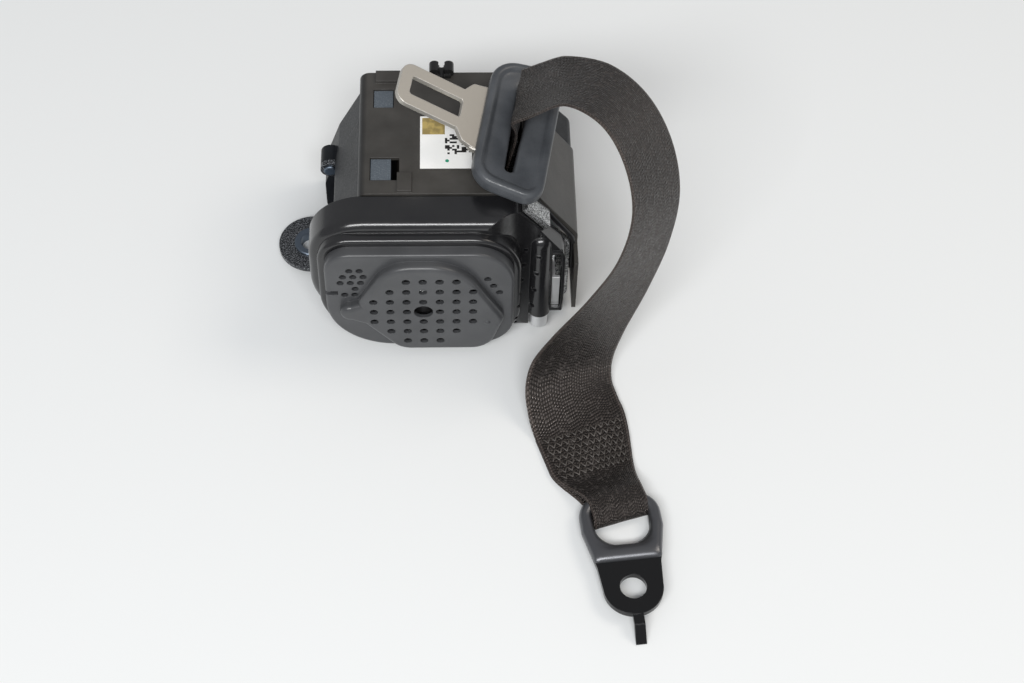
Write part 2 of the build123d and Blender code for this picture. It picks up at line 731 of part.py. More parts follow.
def make_tongue_plate():
    root = Pos(tongue_depth / 2 - 4, 0) * RectangleRounded(16, 38, 3)
    root = extrude(root, amount=blade_thick / 2, both=True)
    half = blade_width / 2
    plan = rounded((0, -half, 0), (blade_reach, -half, 6), (blade_reach, half, 6), (0, half, 0))
    shoulders = rounded((0, -half - 7.5, 0), (9, -half - 5.5, 3), (13, -half, 3), (13, half, 3),
                        (9, half + 5.5, 3), (0, half + 7.5, 0))
    hole = Pos(blade_reach - 6 - window_length / 2, 0) * RectangleRounded(window_length, window_width, 1.5)
    blade = extrude(plan + shoulders - hole, amount=blade_thick / 2, both=True)
    bent = Pos(tongue_depth / 2 - 1, 0, 0) * Rot(0, -blade_bend, 0) * blade
    return tongue_place() * (root + bent)


def tongue_slot(e):
    width = tongue_slot_width + 2 * e
    return RectangleRounded(width, tongue_slot_length + 2 * e, width / 2 - 0.1)


def make_tongue_overmould():
    """The moulded grip with a rounded rim, a slanted slot for the webbing and the steel blade inside."""
    body = extrude(overmould_outline(0), amount=tongue_thick / 2, both=True)
    body = fillet(body.faces().sort_by(Axis.Z)[-1].edges() + body.faces().sort_by(Axis.Z)[0].edges(), 3.6)
    dish = Pos(0, 0, tongue_thick / 2 - 1.2) * extrude(overmould_outline(4.5), amount=4, taper=-30)
    slot = extrude(tongue_slot(0), amount=tongue_thick, both=True)
    mouths = Pos(0, 0, 1.5) * extrude(tongue_slot(0), amount=tongue_thick, taper=-24)
    return tongue_place() * (body - dish - slot - mouths) - make_tongue_plate()


# Anchor plate, in its own axes: origin under the bolt hole, Y towards the webbing
def anchor_plan():
    half = anchor_width / 2
    ring_top = anchor_bar_y + anchor_bar_half
    waist = anchor_bar_y - 14
    end = anchor_end_radius
    neck = make_face(Polyline((-end, 0), (-end - 1, anchor_fold - 3), (-half, waist), (half, waist),
                              (end + 1, anchor_fold - 3), (end, 0), close=True))
    shank = Circle(end) + neck
    ring = rounded((-half, waist - 0.1, 0), (-half, ring_top, 12), (half, ring_top, 12), (half, waist - 0.1, 0))
    low, high = anchor_fold + 8, anchor_bar_y - anchor_bar_half
    window = rounded((-half + 5.5, high, 2), (half - 5.5, high, 2),
                     (half - 6.5, low, 10.5), (-half + 6.5, low, 10.5))
    return shank + ring - window - Circle(anchor_hole_radius)


def make_anchor_plate():
    half = anchor_width / 2
    lift = anchor_bolt_z
    drop = anchor_bar_z - anchor_thick / 2
    near = -anchor_end_radius - 1
    far = anchor_bar_y + anchor_bar_half + 1
    flat = anchor_bar_y - 6
    under = [(near, lift), (anchor_fold, lift), (flat, drop), (far, drop)]
    over = [(y, z + anchor_thick) for y, z in reversed(under)]
    side = make_face(Polyline(*under, *over, close=True))
    band = extrude(Plane.YZ.offset(-half - 1) * side, amount=anchor_width + 2)
    plate = band & extrude(anchor_plan(), amount=30)
    foot = -anchor_end_radius - anchor_tab_length
    root = -anchor_end_radius + 2
    top = lift + anchor_thick - 0.6
    tab = make_face(Polyline((root, lift), (root - 5, lift), (foot + 3, 0.4), (foot, 0.4), (root - 7, top),
                             (root, top), close=True))
    tab = extrude(Plane.YZ.offset(-anchor_tab_width / 2) * tab, amount=anchor_tab_width)
    return anchor_place * (plate + tab)


# Webbing
def across_at(heading, lift):
    """The unit vector across the webbing, from its heading and lift in degrees."""
    level = cos(radians(lift))
    return Vector(level * cos(radians(heading)), level * sin(radians(heading)), sin(radians(lift)))


def route_stations():
    stations = [(Vector(x, y, z), across_at(heading, lift)) for x, y, z, heading, lift in webbing_route]
    stations.append((Vector(exit_x, mid_y, roof_z) + run_direction * run_top, across_at(90 - tongue_yaw, 0)))
    return stations


def blended(before, start, end, after, t):
    """A point on the smooth curve through four neighbours, between start and end."""
    return (start * 2 + (end - before) * t + (before * 2 - start * 5 + end * 4 - after) * t ** 2
            + (start * 3 - before - end * 3 + after) * t ** 3) * 0.5


def cut_across(centre, across, ahead):
    """The webbing's cross-section, square to the direction ahead."""
    side = (across - ahead * across.dot(ahead)).normalized() * (webbing_width / 2)
    face = side.cross(ahead).normalized() * (webbing_thick / 2)
    corners = [centre + side + face, centre - side + face, centre - side - face, centre + side - face]
    return Wire.make_polygon(corners, close=True)


def webbing_sections():
    stations = route_stations()
    last = len(stations) - 1
    beyond = (stations[last][0] + run_direction * -12, stations[last][1])
    ghost = (stations[0][0] * 2 - stations[1][0], stations[0][1])
    padded = [ghost] + stations + [beyond]
    path = []
    for n in range(1, last + 1):
        four = padded[n - 1:n + 3]
        for k in range(route_steps):
            t = k / route_steps
            path.append((blended(*[c for c, _ in four], t), blended(*[a for _, a in four], t)))
    path.append(stations[last])
    sections = []
    for n, (centre, across) in enumerate(path):
        ahead = path[min(n + 1, len(path) - 1)][0] - path[max(n - 1, 0)][0]
        if n == 0:
            ahead = Vector(0, 0, 1).cross(across)
        if n == len(path) - 1:
            ahead = run_direction * -1
        sections.append(cut_across(centre, across, ahead.normalized()))
    return sections


def make_webbing_loop():
    """The free webbing: a twisting strip of even width between the sewn end and the tongue."""
    return Solid.make_loft(webbing_sections(), ruled=True)


def make_webbing_run():
    """The webbing from the top of the coil out through the roof and the tongue, twisting as the tongue is turned."""
    start = Vector(tangent_x, mid_y, tangent_z)
    end = Vector(exit_x, mid_y, roof_z) + run_direction * run_top
    sections = []
    for n in range(5):
        share = n / 4
        sections.append(cut_across(start + (end - start) * share, across_at(90 - tongue_yaw * share, 0), run_direction))
    return Solid.make_loft(sections, ruled=True)


def make_sewn_end():
    """The doubled end: it wraps the anchor's bar, gathered, and widens into the sewn stack."""
    inner_r = hypot(anchor_bar_half, anchor_thick / 2) + body_gap
    outer_r = inner_r + webbing_thick
    y, z = anchor_bar_y, anchor_bar_z
    stack = 2 * webbing_thick
    tail = make_face(Polyline((y, z - outer_r), (y, z + outer_r), (y + 20, stack), (y + 80, stack),
                              (y + 80, 0), (y + 20, 0), close=True))
    hollow = make_face(Polyline((y, z - inner_r), (y, z + inner_r), (y + 15, stack / 2), close=True))
    outer = Pos(y, z) * Circle(outer_r) + tail
    inner = Pos(y, z) * Circle(inner_r) + hollow
    profile = anchor_place * extrude(Plane.YZ.offset(-60) * (outer - inner), amount=120)
    end, across = route_stations()[0]
    bar_at = (anchor_place * Pos(0, anchor_bar_y, 0)).position
    bar_across = across_at(anchor_turn, 0)
    spread = bar_at + (end - bar_at) * gather_share
    half = webbing_width / 2
    grip = gather_width / 2
    back = (end - bar_at).normalized() * -outer_r * 1.5
    left = [bar_at + back - bar_across * grip, bar_at - back - bar_across * grip,
            spread - across * half, end - across * half]
    right = [end + across * half, spread + across * half,
             bar_at - back + bar_across * grip, bar_at + back + bar_across * grip]
    plan = make_face(Polyline(*[(p.X, p.Y) for p in left + right], close=True))
    return profile & extrude(plan, amount=30)


# Fasteners
def rivet_places():
    return [(36, 62), (104, 52), (104, 16)]


def make_base_rivets():
    rivets = []
    for x, z in rivet_places():
        stem = along_y(x, z, rivet_radius, base_near_y, near_inner_y)
        rivets.append(stem + along_y(x, z, rivet_radius + 1.5, near_inner_y, near_inner_y + rivet_head_thick))
    return Compound(children=rivets)


def screw_places():
    return [(cover_left + 3.3, 35.6), (106, 12), (62, wall_top - 5.5)]


def make_cover_screws():
    screws = []
    for x, z in screw_places():
        head = along_y(x, z, screw_head_radius, far_inner_y - screw_head_thick, far_inner_y)
        head = fillet(head.edges().sort_by(Axis.Y)[0], screw_head_thick * 0.6)
        screws.append(head + along_y(x, z, screw_radius, far_inner_y, frame_far_y + boss_length - 1))
    return Compound(children=screws)


pieces = {
    "frame": make_frame(),
    "frame_near_wall": make_frame_near_wall(),
    "frame_far_wall": make_frame_far_wall(),
    "frame_bush": make_frame_bush(),
    "tie_rods": make_tie_rods(),
    "spool": make_spool(),
    "webbing_coil": make_webbing_coil(),
    "torsion_bar": make_torsion_bar(),
    "ratchet_wheel": make_ratchet_wheel(),
    "control_disc": make_control_disc(),
    "pinion_shaft": make_pinion_shaft(),
    "spring_arbor": make_spring_arbor(),
    "lock_pawl": make_lock_pawl(),
    "pawl_pin": make_pawl_pin(),
    "sensor_housing": make_sensor_housing(),
    "sensor_ball": make_sensor_ball(),
    "sensor_lever": make_sensor_lever(),
    "lever_pin": make_lever_pin(),
    "lock_cover": make_lock_cover(),
    "shroud": make_shroud(),
    "roof_clips": make_roof_clips(),
    "webbing_guide": make_webbing_guide(),
    "label": make_label(),
    "cable_clip": make_cable_clip(),
    "pretensioner_base": make_pretensioner_base(),
    "pan_cover": make_pan_cover(),
    "spring_cover": make_spring_cover(),
    "spring_case": make_spring_case(),
    "return_spring": make_return_spring(),
    "gas_tube": make_gas_tube(),
    "gas_generator": make_gas_generator(),
    "tube_bracket": make_tube_bracket(),
    "tongue_plate": make_tongue_plate(),
    "tongue_overmould": make_tongue_overmould(),
    "anchor_plate": make_anchor_plate(),
    "webbing_sewn_end": make_sewn_end(),
    "webbing_loop": make_webbing_loop(),
    "webbing_run": make_webbing_run(),
    "base_rivets": make_base_rivets(),
    "cover_screws": make_cover_screws(),
}

for name, shape in pieces.items():
    export_step(shape, f"parts/{name}.step")
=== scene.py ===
import math
import bmesh
import bpy
import numpy as np
from mathutils import Matrix


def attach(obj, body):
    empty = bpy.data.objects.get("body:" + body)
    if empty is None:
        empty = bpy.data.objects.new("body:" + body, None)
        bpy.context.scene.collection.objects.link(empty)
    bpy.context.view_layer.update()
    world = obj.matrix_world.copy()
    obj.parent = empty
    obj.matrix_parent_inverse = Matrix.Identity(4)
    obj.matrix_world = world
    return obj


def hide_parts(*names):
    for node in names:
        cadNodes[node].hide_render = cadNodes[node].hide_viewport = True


# A front seat belt on a pale table: reel, webbing loop, tongue and anchor plate. Metres, Z up.
# Pieces are worked out in millimetres and scaled as they go into their meshes.

toMetres = 0.001

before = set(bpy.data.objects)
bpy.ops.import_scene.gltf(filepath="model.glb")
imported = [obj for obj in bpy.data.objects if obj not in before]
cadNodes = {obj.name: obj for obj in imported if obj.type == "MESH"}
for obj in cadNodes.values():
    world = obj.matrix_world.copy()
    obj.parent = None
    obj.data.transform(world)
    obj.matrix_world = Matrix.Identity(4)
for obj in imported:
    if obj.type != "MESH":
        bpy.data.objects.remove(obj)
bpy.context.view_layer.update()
print("frame loaded:", len(cadNodes), "nodes")


# Small helpers

def hexColour(code):
    # an sRGB hex colour turned linear
    parts = [int(code[i:i + 2], 16) / 255 for i in (1, 3, 5)]
    return [c / 12.92 if c <= 0.04045 else ((c + 0.055) / 1.055) ** 2.4 for c in parts] + [1.0]


def unit(vectors):
    return vectors / np.linalg.norm(vectors, axis=-1, keepdims=True)


def turn(axis, degrees):
    # the 3 x 3 turn about X, Y or Z
    c, s = math.cos(math.radians(degrees)), math.sin(math.radians(degrees))
    i, j = {"X": (1, 2), "Y": (2, 0), "Z": (0, 1)}[axis]
    m = np.eye(3)
    m[i, i] = m[j, j] = c
    m[i, j], m[j, i] = -s, s
    return m


def outlineOf(corners, arcSteps=8, sideSteps=6):
    # A closed outline with rounded corners. Each corner (x, y, radius) gives an arc from one tangent
    # point to the other, then the straight to the next corner, so outlines with as many corners match.
    pts = np.array([c[:2] for c in corners], float)
    radii = np.array([c[2] for c in corners], float)
    before, after = unit(np.roll(pts, 1, 0) - pts), unit(np.roll(pts, -1, 0) - pts)
    half = np.arccos(np.clip((before * after).sum(1), -1, 1)) / 2
    reach = radii / np.tan(half)
    start, end = pts + before * reach[:, None], pts + after * reach[:, None]
    t = np.linspace(0, 1, arcSteps + 1)[None, :, None]
    middle = pts + unit(before + after + 1e-9) * (radii / np.sin(half))[:, None]
    a, b = start - middle, end - middle
    spread = np.maximum(math.pi - 2 * half, 1e-6)[:, None, None]
    arc = (a[:, None] * np.sin((1 - t) * spread) + b[:, None] * np.sin(t * spread)) / np.sin(spread)
    arc = middle[:, None] + arc
    flat = (radii < 1e-6) | (spread[:, 0, 0] < 1e-3)
    arc[flat] = pts[flat][:, None]
    s = np.linspace(0, 1, sideSteps + 1)[None, 1:-1, None]
    side = end[:, None] * (1 - s) + np.roll(start, -1, 0)[:, None] * s
    return np.concatenate([arc, side], 1).reshape(-1, 2)


def gridMesh(name, points, closedRows=True, uv=None):
    # A surface from a grid of points, rows by columns: each face joins four neighbours, and the
    # columns close into a ring.
    rows, cols = points.shape[:2]
    r = np.arange(rows if closedRows else rows - 1)[:, None]
    c = np.arange(cols)[None, :]
    r2, c2 = (r + 1) % rows, (c + 1) % cols
    faces = np.stack([r * cols + c, r * cols + c2, r2 * cols + c2, r2 * cols + c], -1).reshape(-1, 4)
    mesh = bpy.data.meshes.new(name)
    mesh.from_pydata((points.reshape(-1, 3) * toMetres).tolist(), [], faces.tolist())
    if uv is not None:
        layer = mesh.uv_layers.new(name="strapUV")
        layer.data.foreach_set("uv", uv.reshape(-1, 2)[faces.reshape(-1)].astype(np.float32).ravel())
    return meshObject(name, mesh)


def meshObject(name, mesh):
    mesh.validate()
    mesh.polygons.foreach_set("use_smooth", np.ones(len(mesh.polygons), bool))
    piece = bpy.data.objects.new(name, mesh)
    bpy.context.scene.collection.objects.link(piece)
    return piece


def capped(points):
    # adds a row shrunk to its middle at both ends, which closes a tube-like grid
    first = np.broadcast_to(points[0].mean(0), points[0].shape)
    last = np.broadcast_to(points[-1].mean(0), points[-1].shape)
    return np.concatenate([first[None], points, last[None]])


def finishPiece(piece, body, material, replaced=()):
    piece.data.materials.append(material)
    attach(piece, body)
    if replaced:
        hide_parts(*replaced)
    return piece


def mergeDoubles(piece, gap=0.00001):
    # joins points nearer than gap metres, as in a closed end's fan
    work = bmesh.new()
    work.from_mesh(piece.data)
    bmesh.ops.remove_doubles(work, verts=work.verts, dist=gap)
    bmesh.ops.recalc_face_normals(work, faces=work.faces)
    work.to_mesh(piece.data)
    work.free()
    piece.data.polygons.foreach_set("use_smooth", np.ones(len(piece.data.polygons), bool))


# Camera at the photograph's angle

view = {"elevation": 55.0, "yaw": 3.0, "roll": 2.0, "lens": 70.0, "sensor": 36.0,
        "distance": 1030.0, "target": (-6.0, 3.0, 4.0), "targetPixel": (301.0, 239.0),
        "pictureSize": (1024, 683)}


def makeCamera():
    # The target shows at its pixel, seen from the distance, along a line raised by the elevation.
    e, a, r = (math.radians(view[k]) for k in ("elevation", "yaw", "roll"))
    wide, high = view["pictureSize"]
    focal = view["lens"] / view["sensor"] * wide
    back = np.array([-math.sin(a) * math.cos(e), -math.cos(a) * math.cos(e), math.sin(e)])
    level = unit(np.cross(-back, [0, 0, 1.0]))
    above = np.cross(back, level)
    right = level * math.cos(r) + above * math.sin(r)
    up = -level * math.sin(r) + above * math.cos(r)
    u, v = (view["targetPixel"][0] - wide / 2) / focal, (high / 2 - view["targetPixel"][1]) / focal
    place = np.array(view["target"]) - view["distance"] * (-back + u * right + v * up)
    camera = bpy.data.objects.new("camera", bpy.data.cameras.new("camera"))
    camera.data.lens, camera.data.sensor_width = view["lens"], view["sensor"]
    camera.data.clip_start, camera.data.clip_end = 0.01, 20
    m = np.eye(4)
    m[:3, 0], m[:3, 1], m[:3, 2], m[:3, 3] = right, up, back, place * toMetres
    camera.matrix_world = Matrix(m.tolist())
    bpy.context.scene.collection.objects.link(camera)
    bpy.context.scene.camera = camera


makeCamera()
print("camera set")


# Materials

metre = 1000.0  # in millimetres: metre / size gives noise with lumps of about that size


def addNode(tree, kind, settings):
    # One node with its settings. A key that isn't a setting of the node is an input: it is linked where the
    # value is a socket or a node, whose first output is taken, and set otherwise. A colour Mix takes its two
    # colours at inputs 6 and 7 and gives the result at output 2.
    node = tree.nodes.new("ShaderNode" + kind)
    for name, value in settings.items():
        if isinstance(name, str) and hasattr(node, name):
            setattr(node, name, value)
        elif isinstance(value, bpy.types.Node):
            tree.links.new(value.outputs[0], node.inputs[name])
        elif isinstance(value, bpy.types.NodeSocket):
            tree.links.new(value, node.inputs[name])
        else:
            node.inputs[name].default_value = value
    return node


def newMaterial(name, settings):
    # a material with its Principled shader set, and the shader's tree and coordinates to work with
    material = bpy.data.materials.new(name)
    material.use_nodes = True
    tree = material.node_tree
    shader = tree.nodes["Principled BSDF"]
    for key, value in settings.items():
        shader.inputs[key].default_value = value
    coords = addNode(tree, "TexCoord", {}).outputs["Object"]
    return material, tree, shader, coords


def millimetresFrom(tree, coordinate, middle):
    scaled = addNode(tree, "Math", {"operation": "MULTIPLY", 0: coordinate, 1: metre})
    return addNode(tree, "Math", {"operation": "SUBTRACT", 0: scaled, 1: middle})


def ridges(tree, value, power):
    # rounded ridges one unit apart, with narrower grooves for a lower power
    angle = addNode(tree, "Math", {"operation": "MULTIPLY", 0: value, 1: math.pi})
    wave = addNode(tree, "Math", {"operation": "SINE", 0: angle})
    height = addNode(tree, "Math", {"operation": "ABSOLUTE", 0: wave})
    return addNode(tree, "Math", {"operation": "POWER", 0: height, 1: power})


def squareSum(tree, a, b):
    squares = [addNode(tree, "Math", {"operation": "MULTIPLY", 0: value, 1: value}) for value in (a, b)]
    return addNode(tree, "Math", {"operation": "ADD", 0: squares[0], 1: squares[1]})


def cellChance(tree, a, b):
    # one random value from 0 to 1 in each unit cell
    wholes = [addNode(tree, "Math", {"operation": "FLOOR", 0: value}) for value in (a, b)]
    cell = addNode(tree, "CombineXYZ", {0: wholes[0], 1: wholes[1]})
    return addNode(tree, "TexWhiteNoise", {"Vector": cell})


def paintedShadeSide(material, edgeX, colour):
    # left of edgeX millimetres the colour goes over to a painted shade, round the corner's radius
    tree = material.node_tree
    base = tree.nodes["Principled BSDF"].inputs["Base Color"]
    coords = addNode(tree, "TexCoord", {}).outputs["Object"]
    x = addNode(tree, "SeparateXYZ", {0: coords})
    share = addNode(tree, "MapRange", {"Value": x, "From Min": (edgeX - 3) * toMetres,
                                       "From Max": edgeX * toMetres, "To Min": 1, "To Max": 0})
    mixed = addNode(tree, "Mix", {"data_type": "RGBA", 0: share, 6: base.links[0].from_socket,
                                  7: hexColour(colour)})
    tree.links.new(mixed.outputs[2], base)
    return material


def mouldedPlastic(name, colours, rough, texture, edge, sink=0.05, specular=0.5):
    # Moulded plastic: a little uneven between two colours. The tool's fine texture, given by its size in
    # millimetres and its depth in metres, is in the bump and in the gloss. Slow sink marks are this many
    # millimetres deep.
    material, tree, shader, coords = newMaterial(name, {"Specular IOR Level": specular, "IOR": 1.5})
    first, second = hexColour(colours[0]), hexColour(colours[1])
    cloud = addNode(tree, "TexNoise", {"Vector": coords, "Scale": metre / 14, "Detail": 3})
    fine = addNode(tree, "TexNoise", {"Vector": coords, "Scale": metre / texture[0], "Detail": 2})
    uneven = addNode(tree, "MapRange", {"Value": cloud, "From Min": 0.3, "From Max": 0.7})
    gloss = addNode(tree, "MapRange", {"Value": fine, "From Min": 0.3, "From Max": 0.7, "To Min": rough[0],
                                       "To Max": rough[1]})
    mixed = addNode(tree, "Mix", {"data_type": "RGBA", 0: uneven, 6: first, 7: second})
    rounded = addNode(tree, "Bevel", {"samples": 6, "Radius": edge * toMetres})
    sunk = addNode(tree, "Bump", {"Height": cloud, "Strength": 0.5, "Distance": sink * toMetres,
                                  "Normal": rounded})
    textured = addNode(tree, "Bump", {"Height": fine, "Strength": 0.5, "Distance": texture[1],
                                      "Normal": sunk})
    tree.links.new(mixed.outputs[2], shader.inputs["Base Color"])
    tree.links.new(gloss.outputs[0], shader.inputs["Roughness"])
    tree.links.new(textured.outputs[0], shader.inputs["Normal"])
    return material


def speckled(name, colours, speck, share, roughness, metallic, bump, edge):
    # A grainy surface in two tones: grains speck millimetres in size, the second tone glossier. The larger
    # the share, the more of the surface keeps the first tone.
    material, tree, shader, coords = newMaterial(name, {"Metallic": metallic})
    first, second = hexColour(colours[0]), hexColour(colours[1])
    lumps = addNode(tree, "TexNoise", {"Vector": coords, "Scale": metre / speck, "Detail": 4,
                                       "Roughness": 0.7})
    specks = addNode(tree, "MapRange", {"Value": lumps, "From Min": share - 0.05, "From Max": share + 0.05})
    gloss = addNode(tree, "MapRange", {"Value": specks, "To Min": roughness, "To Max": roughness * 0.7})
    mixed = addNode(tree, "Mix", {"data_type": "RGBA", 0: specks, 6: first, 7: second})
    rounded = addNode(tree, "Bevel", {"samples": 6, "Radius": edge * toMetres})
    grainy = addNode(tree, "Bump", {"Height": lumps, "Strength": 0.6, "Distance": bump, "Normal": rounded})
    tree.links.new(mixed.outputs[2], shader.inputs["Base Color"])
    tree.links.new(gloss.outputs[0], shader.inputs["Roughness"])
    tree.links.new(grainy.outputs[0], shader.inputs["Normal"])
    return material


def brushedMetal(name, colours, rough, strokes, metallic, edge):
    # Plated or ground metal: long fine strokes vary the gloss. Where the rounded normal leaves the face's own
    # normal, at the edges, the second colour shows as cut metal.
    material, tree, shader, coords = newMaterial(name, {"Metallic": metallic})
    first, second = hexColour(colours[0]), hexColour(colours[1])
    stretched = addNode(tree, "Mapping", {"Vector": coords, "Scale": strokes})
    fine = addNode(tree, "TexNoise", {"Vector": stretched, "Scale": 1.0, "Detail": 3.0})
    gloss = addNode(tree, "MapRange", {"Value": fine, "From Min": 0.3, "From Max": 0.7, "To Min": rough[0],
                                       "To Max": rough[1]})
    rounded = addNode(tree, "Bevel", {"samples": 6, "Radius": edge * toMetres})
    face = addNode(tree, "NewGeometry", {}).outputs["Normal"]
    level = addNode(tree, "VectorMath", {"operation": "DOT_PRODUCT", 0: rounded, 1: face})
    cut = addNode(tree, "MapRange", {"Value": level.outputs["Value"], "From Min": 0.97, "From Max": 0.85})
    mixed = addNode(tree, "Mix", {"data_type": "RGBA", 0: cut, 6: first, 7: second})
    brushed = addNode(tree, "Bump", {"Height": fine, "Strength": 0.25, "Distance": 0.00003,
                                     "Normal": rounded})
    tree.links.new(mixed.outputs[2], shader.inputs["Base Color"])
    tree.links.new(gloss.outputs[0], shader.inputs["Roughness"])
    tree.links.new(brushed.outputs[0], shader.inputs["Normal"])
    return material


# moulded ABS from a polished tool: black with a soft gloss
glossyAbs = mouldedPlastic("glossyAbs", ("#1a1a1c", "#212122"), rough=(0.16, 0.22), texture=(2.5, 0.000008),
                           edge=0.6, sink=0.08, specular=0.7)
# the inner plate of the same cover: a fine satin texture, greyer
satinAbs = mouldedPlastic("satinAbs", ("#414244", "#4a4b4d"), rough=(0.28, 0.38), texture=(0.4, 0.00002),
                          edge=0.5)
# glass-filled nylon of the guide: satin, brown-black, with a fine spark-eroded grain
nylon = {"rough": (0.34, 0.48), "texture": (0.4, 0.00005), "edge": 0.6, "sink": 0.4}
filledNylon = mouldedPlastic("filledNylon", ("#34322f", "#403e3b"), **nylon)
# the roof, in the same nylon, is painted a little lighter on top as painted light, and darker on its side
# wall as painted shade
roofNylonPaintedLightAndShade = paintedShadeSide(mouldedPlastic("roofNylonPaintedLightAndShade", ("#383633", "#454340"), **nylon), 31, "#08090a")
# the latch leaves in the roof's windows: blue-grey nylon, grainier than the roof
clipNylon = speckled("clipNylon", ("#505860", "#868e94"), speck=0.45, share=0.6, roughness=0.5,
                     metallic=0.0, bump=0.00008, edge=0.3)
# the lock's cover: darker and bluer polypropylene, slightly glossy
coverPolypropylene = mouldedPlastic("coverPolypropylene", ("#15171a", "#1f2125"), rough=(0.34, 0.5),
                                    texture=(0.7, 0.00003), edge=0.8, sink=0.5, specular=0.22)
# the tongue's grip: blue-grey polypropylene with a fine satin grain
gripPolypropylene = mouldedPlastic("gripPolypropylene", ("#414448", "#56595d"), rough=(0.26, 0.4),
                                   texture=(0.5, 0.00012), edge=0.3, sink=0.3)
# acetal running parts: smooth black
acetalBlack = mouldedPlastic("acetalBlack", ("#161617", "#1e1e1f"), rough=(0.28, 0.38),
                             texture=(0.8, 0.00002), edge=0.3)
# cathodic dip coat on steel: black, speckled with bare grit
dipCoatedSteel = speckled("dipCoatedSteel", ("#1c1d20", "#a5a8ac"), speck=0.55, share=0.56, roughness=0.42,
                          metallic=0.5, bump=0.00012, edge=0.5)
# the anchor's pressed ring: a smooth coat, painted greyer than the flat as painted light on its rounded rim,
# and glossy enough to mirror the lamps
paintedLightCoatedSteel = speckled("paintedLightCoatedSteel", ("#66676a", "#85868a"), speck=0.9, share=0.7,
                             roughness=0.3, metallic=0.8, bump=0.000015, edge=1.5)
# the flat of the anchor plate: deeper black with a higher gloss
blackCoatedSteel = speckled("blackCoatedSteel", ("#222223", "#38383a"), speck=0.9, share=0.7,
                            roughness=0.2, metallic=0.55, bump=0.00001, edge=0.6)
# strokes along x, as cycles per metre on each axis
alongX = (40.0, 900.0, 900.0)
# bush, rods, rivets and screws: passivated zinc, dark and bluish
zincSteel = brushedMetal("zincSteel", ("#6d7783", "#8f9aa5"), rough=(0.3, 0.45), strokes=alongX, metallic=1.0,
                         edge=0.3)
# the gas tube, its generator and the bracket: bright zinc, in sight beside the pan
whiteZinc = brushedMetal("whiteZinc", ("#dfe0e1", "#f2f2f2"), rough=(0.3, 0.45), strokes=alongX, metallic=0.7,
                         edge=0.4)
# bright zinc sheet of inner shafts and springs
brightSteel = brushedMetal("brightSteel", ("#b8b9bb", "#dcdddd"), rough=(0.2, 0.38), strokes=alongX,
                           metallic=1.0, edge=0.3)
# satin nickel on the stamped blade: warm grey, and brighter where the edges were cut
satinNickel = brushedMetal("satinNickel", ("#bcb8b0", "#f4f1eb"), rough=(0.4, 0.5),
                           strokes=(900.0, 60.0, 900.0), metallic=0.8, edge=0.5)
# die-cast aluminium: coarse bright grain
castAluminium = speckled("castAluminium", ("#5c5d5f", "#dcdddd"), speck=0.7, share=0.5, roughness=0.4,
                         metallic=0.9, bump=0.0002, edge=0.5)

nodeMaterials = {
    "frame": dipCoatedSteel, "frame_near_wall": dipCoatedSteel, "frame_far_wall": dipCoatedSteel,
    "frame_bush": zincSteel, "tie_rods": zincSteel, "spool": castAluminium,
    "torsion_bar": brightSteel, "ratchet_wheel": brightSteel, "control_disc": acetalBlack,
    "pinion_shaft": brightSteel, "spring_arbor": acetalBlack, "lock_pawl": brightSteel,
    "pawl_pin": brightSteel, "sensor_housing": acetalBlack, "sensor_ball": brightSteel,
    "sensor_lever": acetalBlack, "lever_pin": brightSteel, "lock_cover": coverPolypropylene,
    "shroud": roofNylonPaintedLightAndShade, "roof_clips": clipNylon, "webbing_guide": filledNylon, "cable_clip": acetalBlack,
    "pretensioner_base": castAluminium, "pan_cover": glossyAbs, "spring_cover": satinAbs,
    "spring_case": acetalBlack, "return_spring": brightSteel,
    "gas_tube": whiteZinc, "gas_generator": whiteZinc, "tube_bracket": whiteZinc,
    "tongue_plate": satinNickel, "tongue_overmould": gripPolypropylene, "anchor_plate": blackCoatedSteel,
    "base_rivets": zincSteel, "cover_screws": zincSteel,
}


def paint(node, material):
    data = cadNodes[node].data
    data.materials.clear()
    data.materials.append(material)


for nodeName, nodeMaterial in nodeMaterials.items():
    paint(nodeName, nodeMaterial)
print("rigid nodes painted")


# Webbing: one strap from the sewn end round the anchor's bar, over the loop, into the reel

strap = {
    "width": 47.0, "thickness": 1.2, "edgeRound": 0.5, "step": 1.0, "columns": 41,
    "ribPitch": 1.35, "rowPitch": 1.6, "selvedge": (21.4, 22.0), "spoolAxis": (58.0, 37.0),
    # the anchor plate's place and turn, its bar, and how the webbing goes round the bar
    "anchor": (154.0, -203.0), "anchorTurn": 6.0, "barY": 45.0, "barZ": 4.6,
    "wrapRadius": 3.95, "wrapReach": 8.5, "wrapTurn": 17.0,
    # the gather at the bar: its width, its reach along each edge, and the crown across it
    "gatherWidth": 28.0, "gatherLeft": 26.0, "gatherRight": 52.0, "gatherFrom": 3.0, "gatherBelow": 20.0,
    "crown": 0.8, "crownWave": 0.15,
    # the straight run through the roof to the coil
    "exit": (101.7, -2.0, 85.0), "tangent": (89.647, -2.0, 30.058), "runTop": 27.0, "runStep": 2.0,
    "turned": 9.5,
    # the fold in the tongue's slot
    "slotHeight": 9.3, "pull": 13.0, "pullFrom": 46.0, "pullTo": 9.0, "bulge": 5.0, "bulgeAt": 20.0,
    "bulgeReach": 9.0, "ripple": 0.35, "ripples": 2.0,
}
